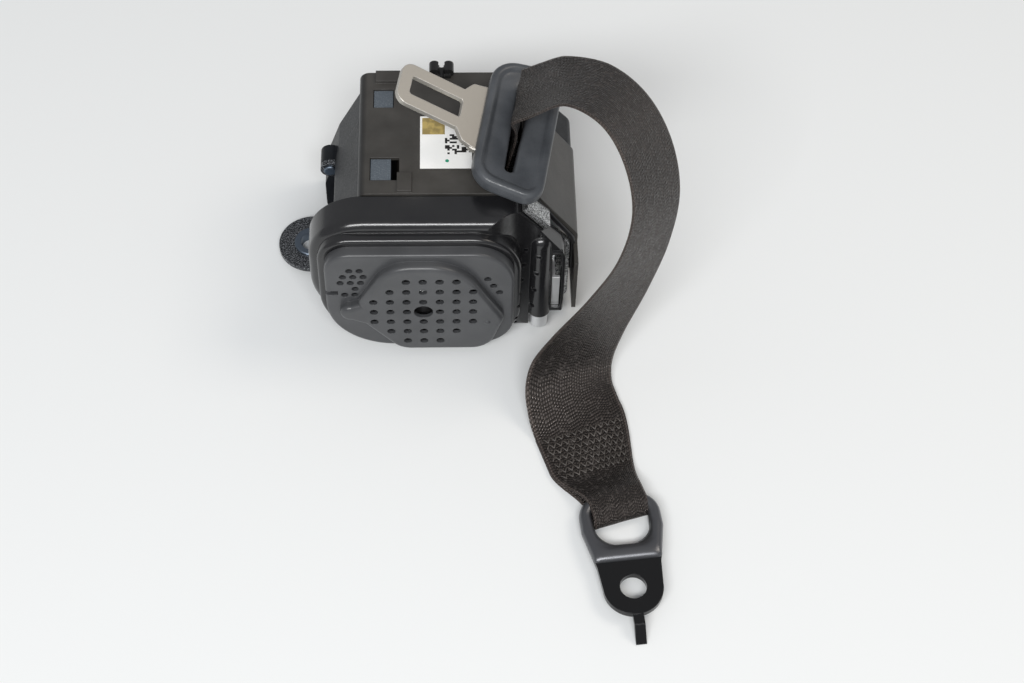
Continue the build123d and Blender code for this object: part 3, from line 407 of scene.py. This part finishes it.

# The loop's stations, as in the part's source. They were picked from a fit to the photograph and rounded:
# centre x, y, z, then heading and lift in degrees of the line across.
loopStations = [
    (134, -112, 1.8, 12, 0),
    (131, -103, 4, 12, -7),
    (129, -93, 9, 14, -16),
    (131, -84, 18, 19, -25),
    (138, -79, 33, 27, -30),
    (151, -73, 57, 38, -30),
    (162, -65, 80, 47, -29),
    (167, -53, 101, 51, -28),
    (163, -38, 119, 53, -26),
    (152, -23, 132, 56, -23),
    (135, -10, 135, 60, -17),
    (118, -4, 127, 72, -8),
]
runDirection = unit(np.array(strap["exit"]) - np.array(strap["tangent"]))
barTurn = math.radians(strap["anchorTurn"])
barPlace = np.array([strap["anchor"][0] - strap["barY"] * math.sin(barTurn),
                     strap["anchor"][1] + strap["barY"] * math.cos(barTurn)])


def acrossAt(heading, lift):
    h, l = np.radians(heading), np.radians(lift)
    return np.stack([np.cos(l) * np.cos(h), np.cos(l) * np.sin(h), np.sin(l)], -1)


def endStations():
    # The doubled end in the plane from the bar to the first station: below the bar, round it, back on top.
    # Each place is its distance from the bar and its height.
    first = np.array(loopStations[0][:2], float)
    along = unit(first - barPlace)
    reach = float(np.linalg.norm(first - barPlace))
    r, z = strap["wrapRadius"], strap["barZ"]
    wrap = np.radians(np.arange(-90, -271, -22.5))
    low = [(reach, 0.62), (reach * 0.7, 0.62), (24, 0.62), (14, 0.62), (6, 0.64)]
    high = [(6, 8.1), (12, 5.6), (18, 3.2), (25, 2.0), (reach * 0.75, 1.8)]
    around = [(strap["wrapReach"] * math.cos(w), z + r * math.sin(w)) for w in wrap]
    places = np.array(low + around + high)
    share = np.clip(places[:, 0] / reach, 0, 1)
    centre = np.concatenate([barPlace + places[:, :1] * along, places[:, 1:]], 1)
    heading = strap["wrapTurn"] + (loopStations[0][3] - strap["wrapTurn"]) * share
    return centre, acrossAt(heading, np.zeros(len(share)))


def smoothPath(knots, values, step):
    # Catmull-Rom between knots, as whole arrays: each sample blends its four neighbours, and the ends are
    # carried on in a straight line.
    gaps = np.linalg.norm(np.diff(knots, axis=0), axis=1)
    counts = np.maximum(np.ceil(gaps / step).astype(int), 1)
    span = np.repeat(np.arange(len(gaps)), counts)
    starts = np.concatenate([[0], np.cumsum(counts)[:-1]])
    t = ((np.arange(len(span)) - starts[span]) / counts[span])[:, None]
    every = np.concatenate([2 * values[:1] - values[1:2], values, 2 * values[-1:] - values[-2:-1]])
    a, b, c, d = (every[span + k] for k in range(4))
    square, cube = (2 * a - 5 * b + 4 * c - d) * t ** 2, (3 * b - a - 3 * c + d) * t ** 3
    mixed = 0.5 * (2 * b + (c - a) * t + square + cube)
    return np.concatenate([mixed, values[-1:]])


def strapPath():
    endCentre, endAcross = endStations()
    loop = np.array(loopStations, float)
    top = np.array(strap["exit"]) + runDirection * strap["runTop"]
    knots = np.concatenate([endCentre, loop[:, :3], top[None]])
    topAcross = acrossAt([90 - strap["turned"]], [0])
    across = np.concatenate([endAcross, acrossAt(loop[:, 3], loop[:, 4]), topAcross])
    path = smoothPath(knots, np.concatenate([knots, across], 1), strap["step"])
    downCount = int(np.linalg.norm(top - np.array(strap["tangent"])) / strap["runStep"])
    t = np.linspace(0, 1, downCount + 1)[1:, None]
    sides = acrossAt(90 - strap["turned"] * (1 - t[:, 0]), 0 * t[:, 0])
    return np.concatenate([path, np.concatenate([top + (np.array(strap["tangent"]) - top) * t, sides], 1)])


def makeStrap():
    # A flat band carried along the path: a thin rounded bar in section, crowned where it is gathered.
    path = strapPath()
    centre, across = path[:, :3], path[:, 3:6]
    away = np.linalg.norm(centre[:, :2] - barPlace, axis=1)
    reaches = np.array([strap["gatherLeft"], strap["gatherRight"]])
    low = centre[:, 2:] < strap["gatherBelow"]
    gathers = np.clip(1 - (away[:, None] - strap["gatherFrom"]) / reaches, 0, 1) * low
    gathers = gathers * gathers * (3 - 2 * gathers)
    gather = gathers[:, :1]
    # Round the tongue's slot the near edge is pulled in, with ripples, and above it the fold leans left.
    travelled = np.concatenate([[0], np.cumsum(np.linalg.norm(np.diff(centre, axis=0), axis=1))])
    slot = np.array(strap["exit"]) + runDirection * strap["slotHeight"]
    fromSlot = travelled[np.argmin(np.linalg.norm(centre - slot, axis=1))] - travelled
    centre[:, 0] -= strap["bulge"] * np.exp(-((fromSlot - strap["bulgeAt"]) / strap["bulgeReach"]) ** 2)
    fade = strap["pullFrom"] - strap["pullTo"]
    pulled = np.clip((strap["pullFrom"] - np.abs(fromSlot)) / fade, 0, 1)
    pulled = pulled * pulled * (3 - 2 * pulled)
    ahead = unit(np.gradient(centre, axis=0))
    across = unit(across - ahead * (across * ahead).sum(1, keepdims=True))
    normal = np.cross(across, ahead)
    half = strap["width"] / 2
    sides = half + (strap["gatherWidth"] / 2 - half) * gathers
    v = np.linspace(-1, 1, strap["columns"])
    t = strap["thickness"] / 2
    # the section: over the top from one edge to the other, then back underneath, thinning as a quarter circle
    # over the last edgeRound millimetres
    v2 = np.concatenate([v, v[::-1]])
    side = np.repeat([1.0, -1.0], strap["columns"])
    pastFlat = np.clip((np.abs(v2) * half - (half - strap["edgeRound"])) / strap["edgeRound"], 0, 1)
    thin = np.sqrt(np.clip(1 - pastFlat ** 2, 0.02, 1))
    # the crown rises whichever way the webbing's face is turned, and fades where it stands upright
    hump = np.cos(v2 * math.pi * 2.5) * strap["crownWave"] + (1 - v2 ** 2) * strap["crown"]
    crown = hump[None, :] * (gather ** 1.5 * normal[:, 2:])
    ripple = strap["ripple"] * np.sin(v2 * math.pi * strap["ripples"])[None, :] * pulled[:, None]
    offset = side * t * thin
    narrow = np.where(v2[None, :] > 0, sides[:, 1:], sides[:, :1])
    outward = v2[None, :] * narrow + strap["pull"] * pulled[:, None] * (1 - v2[None, :]) / 2
    points = (centre[:, None] + across[:, None] * outward[..., None]
              + normal[:, None] * (offset[None, :] + crown + ripple)[..., None])
    uv = np.stack([np.broadcast_to(v2[None, :] * half, points.shape[:2]),
                   np.broadcast_to(travelled[:, None], points.shape[:2])], -1)
    points = capped(points)
    uv = np.concatenate([uv[:1], uv, uv[-1:]])
    piece = gridMesh("webbing", points, closedRows=False, uv=uv)
    return piece, travelled, centre, across, normal, sides / half


def wovenPolyester():
    # Seat belt webbing, heat-set polyester: herringbone ribs drawn a little coarser than life so that they
    # show, near black, with a pinkish glint from the filaments, a few threads painted bright as painted
    # glints, and ribs painted paler along both selvedges as a painted highlight on their rounded edges.
    material, tree, shader, coords = newMaterial("wovenPolyester", {
        "Specular IOR Level": 0.6, "Specular Tint": hexColour("#fff1ea")})
    place = addNode(tree, "UVMap", {"uv_map": "strapUV"})
    parts = addNode(tree, "SeparateXYZ", {0: place})
    column = addNode(tree, "Math", {"operation": "DIVIDE", 0: parts.outputs[0], 1: strap["ribPitch"]})
    level = addNode(tree, "Math", {"operation": "DIVIDE", 0: parts.outputs[1], 1: strap["rowPitch"]})
    # the herringbone: each column is a quarter of a row off the one beside it, four one way, four back
    whole = addNode(tree, "Math", {"operation": "FLOOR", 0: column})
    zigzag = addNode(tree, "Math", {"operation": "PINGPONG", 0: whole, 1: 4.0})
    shift = addNode(tree, "Math", {"operation": "MULTIPLY", 0: zigzag, 1: 0.25})
    row = addNode(tree, "Math", {"operation": "ADD", 0: level, 1: shift})
    ribs, floats = ridges(tree, column, 0.6), ridges(tree, row, 0.6)
    weave = addNode(tree, "Math", {"operation": "MULTIPLY", 0: ribs, 1: floats})
    thread = cellChance(tree, column, row)
    # the shares of the colours laid over one another: threads painted bright as painted glints, the
    # selvedges' painted highlight, slow clouds
    paintedGlintThreads = addNode(tree, "Math", {"operation": "GREATER_THAN", 0: thread, 1: 0.86})
    paintedGlint = addNode(tree, "Math", {"operation": "MULTIPLY", 0: paintedGlintThreads, 1: weave})
    off = addNode(tree, "Math", {"operation": "ABSOLUTE", 0: parts.outputs[0]})
    edge = addNode(tree, "MapRange", {"Value": off, "From Min": strap["selvedge"][0],
                                      "From Max": strap["selvedge"][1], "To Max": 0.35})
    paintedSelvedgeHighlight = addNode(tree, "Math", {"operation": "MULTIPLY", 0: edge, 1: weave})
    cloud = addNode(tree, "TexNoise", {"Vector": coords, "Scale": metre / 12, "Detail": 3})
    # the weave's valleys are painted darker than its crests: painted shade in the grooves
    colour = hexColour("#060606")
    for share, strength, code in ((weave, 1.0, "#242221"), (paintedGlint, 0.35, "#6a6562"), (paintedSelvedgeHighlight, 1.0, "#6b5f59"),
                                  (cloud, 0.25, "#1a1614")):
        over = addNode(tree, "Math", {"operation": "MULTIPLY", 0: share, 1: strength})
        mixed = addNode(tree, "Mix", {"data_type": "RGBA", 0: over, 6: colour, 7: hexColour(code)})
        colour = mixed.outputs[2]
    gloss = addNode(tree, "MapRange", {"Value": thread, "To Min": 0.2, "To Max": 0.5})
    woven = addNode(tree, "Bump", {"Height": weave, "Strength": 0.9, "Distance": 0.00035})
    tree.links.new(colour, shader.inputs["Base Color"])
    tree.links.new(gloss.outputs[0], shader.inputs["Roughness"])
    tree.links.new(woven.outputs[0], shader.inputs["Normal"])
    return material


def woundPolyester():
    # The coil in the reel: on its ends each turn of webbing is a ring one thickness wide about the spool's
    # axis, and on its face the ribs lie side by side across the width.
    material, tree, shader, coords = newMaterial("woundPolyester", {"Specular IOR Level": 0.6})
    parts = addNode(tree, "SeparateXYZ", {0: coords})
    x = millimetresFrom(tree, parts.outputs[0], strap["spoolAxis"][0])
    z = millimetresFrom(tree, parts.outputs[2], strap["spoolAxis"][1])
    out = addNode(tree, "Math", {"operation": "SQRT", 0: squareSum(tree, x, z)})
    turns = addNode(tree, "Math", {"operation": "DIVIDE", 0: out, 1: strap["thickness"]})
    ribPitch = strap["ribPitch"] * toMetres
    columns = addNode(tree, "Math", {"operation": "DIVIDE", 0: parts.outputs[1], 1: ribPitch})
    rings, ribs = ridges(tree, turns, 0.5), ridges(tree, columns, 0.4)
    threads = addNode(tree, "Math", {"operation": "MULTIPLY", 0: rings, 1: ribs})
    # the grooves between turns and ribs are painted darker than the crests: painted shade
    mixed = addNode(tree, "Mix", {"data_type": "RGBA", 0: threads, 6: hexColour("#0a0909"),
                                  7: hexColour("#2f2b29")})
    cloud = addNode(tree, "TexNoise", {"Vector": coords, "Scale": metre / 0.5, "Detail": 3})
    gloss = addNode(tree, "MapRange", {"Value": cloud, "From Min": 0.3, "From Max": 0.7, "To Min": 0.45,
                                       "To Max": 0.7})
    wound = addNode(tree, "Bump", {"Height": threads, "Strength": 0.8, "Distance": 0.0003})
    tree.links.new(mixed.outputs[2], shader.inputs["Base Color"])
    tree.links.new(gloss.outputs[0], shader.inputs["Roughness"])
    tree.links.new(wound.outputs[0], shader.inputs["Normal"])
    return material


webbing = wovenPolyester()
strapPiece, travelled, strapCentre, strapAcross, strapNormal, strapNarrowing = makeStrap()
finishPiece(strapPiece, "retractor", webbing, ("webbing_loop", "webbing_sewn_end", "webbing_run"))
mergeDoubles(strapPiece)
print("webbing laid:", round(float(travelled[-1]) / 1000, 3), "m")


# Sewing: rows of zigzag that cross into diamonds over the doubled end

# The start is counted from the webbing's turn at the bar, and a stroke has this many parts. Lengths in
# millimetres.
sewing = {"start": 35.0, "rows": 7, "rowPitch": 3.7, "columns": 23, "columnPitch": 1.75, "parts": 6,
          "swing": 1.35, "thread": 0.34, "rise": 0.45, "sunk": 0.1}


def tubeMesh(name, lines, radii, normals, sides=6):
    # Tubes along lines of points: each ring lies square to its line, and a radius of 0 closes the end.
    ahead = unit(np.gradient(lines, axis=1))
    across = unit(np.cross(ahead, normals))
    up = np.cross(across, ahead)
    w = np.arange(sides) * 2 * math.pi / sides
    rings = (lines[:, :, None] + across[:, :, None] * (np.cos(w)[:, None] * radii[..., None, None])
             + up[:, :, None] * (np.sin(w)[:, None] * radii[..., None, None]))
    count, length = lines.shape[:2]
    n, r, c = np.meshgrid(np.arange(count), np.arange(length - 1), np.arange(sides), indexing="ij")
    first = (n * length + r) * sides
    beside, above = first + (c + 1) % sides, first + sides
    faces = np.stack([first + c, beside, beside + sides, above + c], -1)
    mesh = bpy.data.meshes.new(name)
    mesh.from_pydata((rings.reshape(-1, 3) * toMetres).tolist(), [], faces.reshape(-1, 4).tolist())
    return meshObject(name, mesh)


def makeSewing():
    # Every second row swings the other way. The thread dips into the webbing at each turn.
    turnAt = int(np.argmin(np.linalg.norm(strapCentre[:, :2] - np.array(strap["anchor"]), axis=1)))
    along = travelled - travelled[turnAt]
    rows = np.arange(sewing["rows"])
    knots = np.arange(sewing["columns"] * sewing["parts"] + 1) / sewing["parts"]
    u = (knots - sewing["columns"] / 2) * sewing["columnPitch"]
    wave = np.abs((knots % 2) - 1) * 2 - 1
    swing = wave[None, :] * sewing["swing"] * np.where(rows % 2, -1, 1)[:, None]
    s = sewing["start"] + rows[:, None] * sewing["rowPitch"] + swing
    centre = np.stack([np.interp(s, along[turnAt:], strapCentre[turnAt:, k]) for k in range(3)], -1)
    across = np.stack([np.interp(s, along[turnAt:], strapAcross[turnAt:, k]) for k in range(3)], -1)
    normal = np.stack([np.interp(s, along[turnAt:], strapNormal[turnAt:, k]) for k in range(3)], -1)
    normal = normal * np.sign(normal[..., 2:3])
    narrowing = [np.interp(s, along[turnAt:], strapNarrowing[turnAt:, k]) for k in range(2)]
    u = u * np.where(u > 0, narrowing[1], narrowing[0])
    rise = strap["thickness"] / 2 - sewing["sunk"] + sewing["rise"] * np.sin(math.pi * (knots % 1)) ** 0.7
    lines = centre + across * u[..., None] + normal * rise[None, :, None]
    radii = np.full(lines.shape[:2], sewing["thread"])
    radii[:, 0] = radii[:, -1] = 0
    return tubeMesh("sewing", lines, radii, normal)


# bonded polyester thread: dark, with a faint shine and a fine grain for its ply
threadPolyester = mouldedPlastic("threadPolyester", ("#35312e", "#5a5551"), rough=(0.3, 0.5),
                                 texture=(0.35, 0.00008), edge=0.1)
sewingPiece = finishPiece(makeSewing(), "retractor", threadPolyester)
mergeDoubles(sewingPiece, 0.000001)
paint("webbing_coil", woundPolyester())
print("sewing done")


# The tongue's grip, in the tongue's own axes

# Its place above the roof and its turns match the CAD; the slot is narrower at the end near the viewer.
# A slot ring is a pair: how far it grows from the slot's outline, and its height. A rim ring is its inset
# from the grip's outline and its height. The floor's rings lie at shares of the way from slot to rim.
grip = {
    "height": 9.3, "yaw": 9.5, "tilt": 14.0, "roll": 4.0,
    "depth": 36.0, "length": 80.0, "cornerFront": 13.0, "cornerBack": 9.0, "frontShorter": 4.0,
    "slotLength": 51.0, "slotNear": 2.1, "slotFar": 3.5,
    "slotRings": ((0, -3.2), (0, -1), (0, 0.4), (0.4, 1.3), (1.2, 1.9), (2.4, 2.2)),
    "floorShares": (0.3, 0.65, 0.95), "floorInset": 6.2, "floorHeight": 2.25, "floorRise": 0.4,
    "rimRings": (
        (5.6, 2.75), (5.1, 3.1), (4.6, 3.6), (4.0, 4.1), (3.3, 4.42), (2.5, 4.5), (1.7, 4.38), (1.0, 4.02),
        (0.45, 3.4), (0.12, 2.6), (0, 1.7), (0, -1.7), (0.12, -2.6), (0.45, -3.4), (1.0, -4.02),
        (1.7, -4.38), (2.6, -4.5)),
    "backHeight": -4.5, "backInset": 6.0, "backSlot": 2.0, "backSlotRings": ((0.8, -4.3), (0.2, -3.9)),
}


def gripOutline(inset):
    x, y = grip["depth"] / 2 - inset, grip["length"] / 2 - inset
    front, back = max(grip["cornerFront"] - inset, 1), max(grip["cornerBack"] - inset, 1)
    shorter = grip["frontShorter"]
    return outlineOf([(x, y - shorter, front), (-x, y, back), (-x, -y, back), (x, -y + shorter, front)])


def slotOutline(grow):
    near, far, y = grip["slotNear"] + grow, grip["slotFar"] + grow, grip["slotLength"] / 2 + grow
    nearRound, farRound = near * 0.95, far * 0.9
    return outlineOf([(near, y, nearRound), (-near, y, nearRound), (-far, -y, farRound), (far, -y, farRound)])


def makeGrip():
    # Rings from the slot's wall over the dished face and the rim, round the edge and back underneath: each is
    # the slot's outline, the grip's, or a mix of the two by a share, at its own height.
    slotRings = [(slotOutline(grow), z) for grow, z in grip["slotRings"]]
    inner, outer = slotOutline(grip["slotRings"][-1][0]), gripOutline(grip["floorInset"])
    floorRings = [(inner + (outer - inner) * share, grip["floorHeight"] + grip["floorRise"] * share)
                  for share in grip["floorShares"]]
    rimRings = [(gripOutline(inset), z) for inset, z in grip["rimRings"]]
    under, wide = slotOutline(grip["backSlot"]), gripOutline(grip["backInset"])
    backRings = [(outline, grip["backHeight"]) for outline in (wide, wide * 0.5 + under * 0.5, under)]
    returnRings = [(slotOutline(grow), z) for grow, z in grip["backSlotRings"]]
    rings = slotRings + floorRings + rimRings + backRings + returnRings
    local = np.stack([np.column_stack([o, np.full(len(o), z)]) for o, z in rings])
    turned = turn("Z", 180 - grip["yaw"]) @ turn("Y", -grip["tilt"]) @ turn("X", -grip["roll"])
    place = np.array(strap["exit"]) + runDirection * grip["height"]
    return gridMesh("tongueGrip", local @ turned.T + place)


gripPiece = finishPiece(makeGrip(), "tongue", gripPolypropylene, ("tongue_overmould",))
mergeDoubles(gripPiece, 0.000001)
smoothing = gripPiece.modifiers.new("smoothing", "SUBSURF")
smoothing.levels = smoothing.render_levels = 1
print("grip shaped")


# Anchor ring: the plate's upper half is pressed into a rounded rim about the webbing's window

# In the plate's own axes, in millimetres: y runs from the bolt hole to the bar.
ring = {
    "height": 3.2, "sit": 1.0, "steps": 14, "sunk": 0.5,
    # outer edge, with its corners' radii from the top down
    "outerRounds": (12.0, 4.0, 1.5), "foldY": 13.5, "foldHalf": 15.7, "waistY": 31.0, "halfWidth": 19.4,
    "topY": 50.4,
    # window, likewise
    "windowRounds": (3.0, 0.4, 10.0), "windowFoot": 22.6, "footHalf": 12.3, "windowWaist": 34.5,
    "windowHalf": 13.3, "windowTop": 42.4,
    # the plate's height along y: it slopes down from the fold towards the bar, then lies level
    "slopeY": (-20.0, 14.5, 39.0, 60.0), "slopeZ": (7.8, 7.8, 6.2, 6.2),
}


def makeAnchorRing():
    # Rings from the window's edge to the outer edge, raised as half an ellipse of the share between them.
    w, g, top = ring["windowHalf"], ring["footHalf"], ring["windowTop"]
    waist, foot = ring["windowWaist"], ring["windowFoot"]
    a, b, c = ring["windowRounds"]
    inner = outlineOf([(w, top, a), (-w, top, a), (-w, waist, b), (-g, foot, c), (g, foot, c), (w, waist, b)])
    x, f, top = ring["halfWidth"], ring["foldHalf"], ring["topY"]
    waist, fold = ring["waistY"], ring["foldY"]
    a, b, c = ring["outerRounds"]
    outer = outlineOf([(x, top, a), (-x, top, a), (-x, waist, b), (-f, fold, c), (f, fold, c), (x, waist, b)])
    share = (1 - np.cos(np.linspace(0, math.pi, ring["steps"]))) / 2
    lift = np.sqrt(np.clip(1 - (2 * share - 1) ** 2, 0, 1)) * ring["height"]
    over = np.stack([np.column_stack([inner + (outer - inner) * t, np.full(len(inner), z)])
                     for t, z in zip(share, lift)])
    under = over[::-1] * [1, 1, 0] + [0, 0, -ring["sit"]]
    local = np.concatenate([over, under])
    local[..., 2] += np.interp(local[..., 1], ring["slopeY"], ring["slopeZ"]) - ring["sunk"]
    place = np.array([*strap["anchor"], 0.0])
    return gridMesh("anchorRing", local @ turn("Z", strap["anchorTurn"]).T + place)


ringPiece = finishPiece(makeAnchorRing(), "anchor", paintedLightCoatedSteel)
mergeDoubles(ringPiece, 0.000001)
print("anchor ring shaped")


# Guide lip: the dark strip inside the guide's near edge, along its slope and down its side

lip = {"corners": ((107.5, 83.0), (130.6, 47.4), (131.6, 44.0), (131.6, 22.0)), "near": -30.6, "far": -26.6,
       "thickness": 2.6, "round": 0.8, "steps": 60}


def makeGuideLip():
    # A rounded oblong carried along the corner line, square to it.
    knots = np.array(lip["corners"], float)
    gaps = np.linalg.norm(np.diff(knots, axis=0), axis=1)
    reach = np.concatenate([[0], np.cumsum(gaps)])
    s = np.linspace(0, reach[-1], lip["steps"])
    line = np.stack([np.interp(s, reach, knots[:, k]) for k in range(2)], -1)
    ahead = unit(np.gradient(line, axis=0))
    inward = np.stack([-ahead[:, 1], ahead[:, 0]], -1) * -1
    half, mid = (lip["far"] - lip["near"]) / 2, (lip["far"] + lip["near"]) / 2
    t, r = lip["thickness"] / 2, lip["round"]
    section = outlineOf([(half, t, r), (-half, t, r), (-half, -t, r), (half, -t, r)])
    x = line[:, None, 0] + inward[:, None, 0] * section[None, :, 1]
    z = line[:, None, 1] + inward[:, None, 1] * section[None, :, 1]
    y = np.broadcast_to(mid + section[None, :, 0], x.shape)
    return gridMesh("guideLip", capped(np.stack([x, y, z], -1)), closedRows=False)


lipPiece = finishPiece(makeGuideLip(), "retractor", acetalBlack)
mergeDoubles(lipPiece, 0.000001)
print("guide lip shaped")


# Label: a bare paper film with a yellow band, a block of printed cells and a green dot

# Millimetres. The block and the band are given by low and high x, then low and high y, the dot by its middle.
printed = {"cell": 1.15, "emptyShare": 0.52, "block": (69.0, 81.65, -9.2, 3.45),
           "band": (58.0, 69.0, 3.4, 14.0), "dot": (70.0, -13.3), "dotRadiusSquared": 0.9}


def labelFilm():
    material, tree, shader, coords = newMaterial("labelFilm", {"Roughness": 0.45})
    parts = addNode(tree, "SeparateXYZ", {0: coords})
    x, y = (millimetresFrom(tree, parts.outputs[k], 0.0) for k in (0, 1))

    def inBox(lowX, highX, lowY, highY):
        # 1 inside the box, 0 outside
        inside = 1.0
        for operation, value, limit in (("GREATER_THAN", x, lowX), ("LESS_THAN", x, highX),
                                        ("GREATER_THAN", y, lowY), ("LESS_THAN", y, highY)):
            test = addNode(tree, "Math", {"operation": operation, 0: value, 1: limit})
            inside = addNode(tree, "Math", {"operation": "MULTIPLY", 0: inside, 1: test})
        return inside

    column, row = (addNode(tree, "Math", {"operation": "DIVIDE", 0: value, 1: printed["cell"]})
                   for value in (x, y))
    chance = cellChance(tree, column, row)
    filled = addNode(tree, "Math", {"operation": "GREATER_THAN", 0: chance, 1: printed["emptyShare"]})
    cells = addNode(tree, "Math", {"operation": "MULTIPLY", 0: inBox(*printed["block"]), 1: filled})
    away = [millimetresFrom(tree, parts.outputs[k], printed["dot"][k]) for k in (0, 1)]
    dot = addNode(tree, "Math", {"operation": "LESS_THAN", 0: squareSum(tree, *away),
                                 1: printed["dotRadiusSquared"]})
    paper = addNode(tree, "TexNoise", {"Vector": coords, "Scale": metre / 9, "Detail": 2})
    cream = addNode(tree, "Mix", {"data_type": "RGBA", 0: paper, 6: hexColour("#ffffff"),
                                  7: hexColour("#fbfbf6")})
    patch = addNode(tree, "TexNoise", {"Vector": coords, "Scale": metre / 3, "Detail": 2})
    patches = addNode(tree, "MapRange", {"Value": patch, "From Min": 0.4, "From Max": 0.6})
    yellow = addNode(tree, "Mix", {"data_type": "RGBA", 0: patches, 6: hexColour("#c2ab68"),
                                   7: hexColour("#9d8a55")})
    colour = cream.outputs[2]
    for share, over in ((inBox(*printed["band"]), yellow.outputs[2]), (cells, hexColour("#1a1918")),
                        (dot, hexColour("#2f9a78"))):
        colour = addNode(tree, "Mix", {"data_type": "RGBA", 0: share, 6: colour, 7: over}).outputs[2]
    uneven = addNode(tree, "Bump", {"Height": patch, "Strength": 0.2, "Distance": 0.00002})
    tree.links.new(colour, shader.inputs["Base Color"])
    tree.links.new(uneven.outputs[0], shader.inputs["Normal"])
    return material


# paper film, slightly glossy and a little uneven
paint("label", labelFilm())
print("label finished")


# Stand, lamps and finish

def makeStage():
    size = 6.0
    corners = [(-size, -size, 0), (size, -size, 0), (size, size, 0), (-size, size, 0)]
    mesh = bpy.data.meshes.new("table")
    mesh.from_pydata(corners, [], [(0, 1, 2, 3)])
    table = bpy.data.objects.new("table", mesh)
    bpy.context.scene.collection.objects.link(table)
    # seamless photo paper: matt and pale
    material, tree, shader, coords = newMaterial("tablePaper", {
        "Base Color": hexColour("#eef0f0"), "Roughness": 0.6, "Specular IOR Level": 0.2})
    table.data.materials.append(material)


def makeLamp(name, place, aim, size, power, colour="#ffffff"):
    lamp = bpy.data.lights.new(name, "AREA")
    lamp.shape, lamp.size, lamp.size_y = "RECTANGLE", size[0], size[1]
    lamp.energy, lamp.color = power, hexColour(colour)[:3]
    holder = bpy.data.objects.new(name, lamp)
    back = unit(np.array(place, float) - np.array(aim, float))
    side = unit(np.cross([0, 1.0, 0.01], back))
    m = np.eye(4)
    m[:3, 0], m[:3, 1], m[:3, 2], m[:3, 3] = side, np.cross(back, side), back, place
    holder.matrix_world = Matrix(m.tolist())
    bpy.context.scene.collection.objects.link(holder)


def makeLight():
    # two softboxes aimed at the reel, and an even room
    aim = (0.08, -0.05, 0.03)
    makeLamp("stripLamp", place=(-0.2, -1.5, 1.7), aim=aim, size=(1.8, 0.45), power=40)
    makeLamp("fillLamp", place=(1.4, 0.2, 1.7), aim=aim, size=(0.8, 0.8), power=7.5, colour="#fff4e6")
    world = bpy.data.worlds.new("room")
    bpy.context.scene.world = world
    world.use_nodes = True
    background = world.node_tree.nodes["Background"]
    background.inputs["Color"].default_value = hexColour("#f4f6fa")
    background.inputs["Strength"].default_value = 0.37


makeStage()
makeLight()
scene = bpy.context.scene
scene.view_settings.view_transform = "Standard"
print("stage and lamps ready")
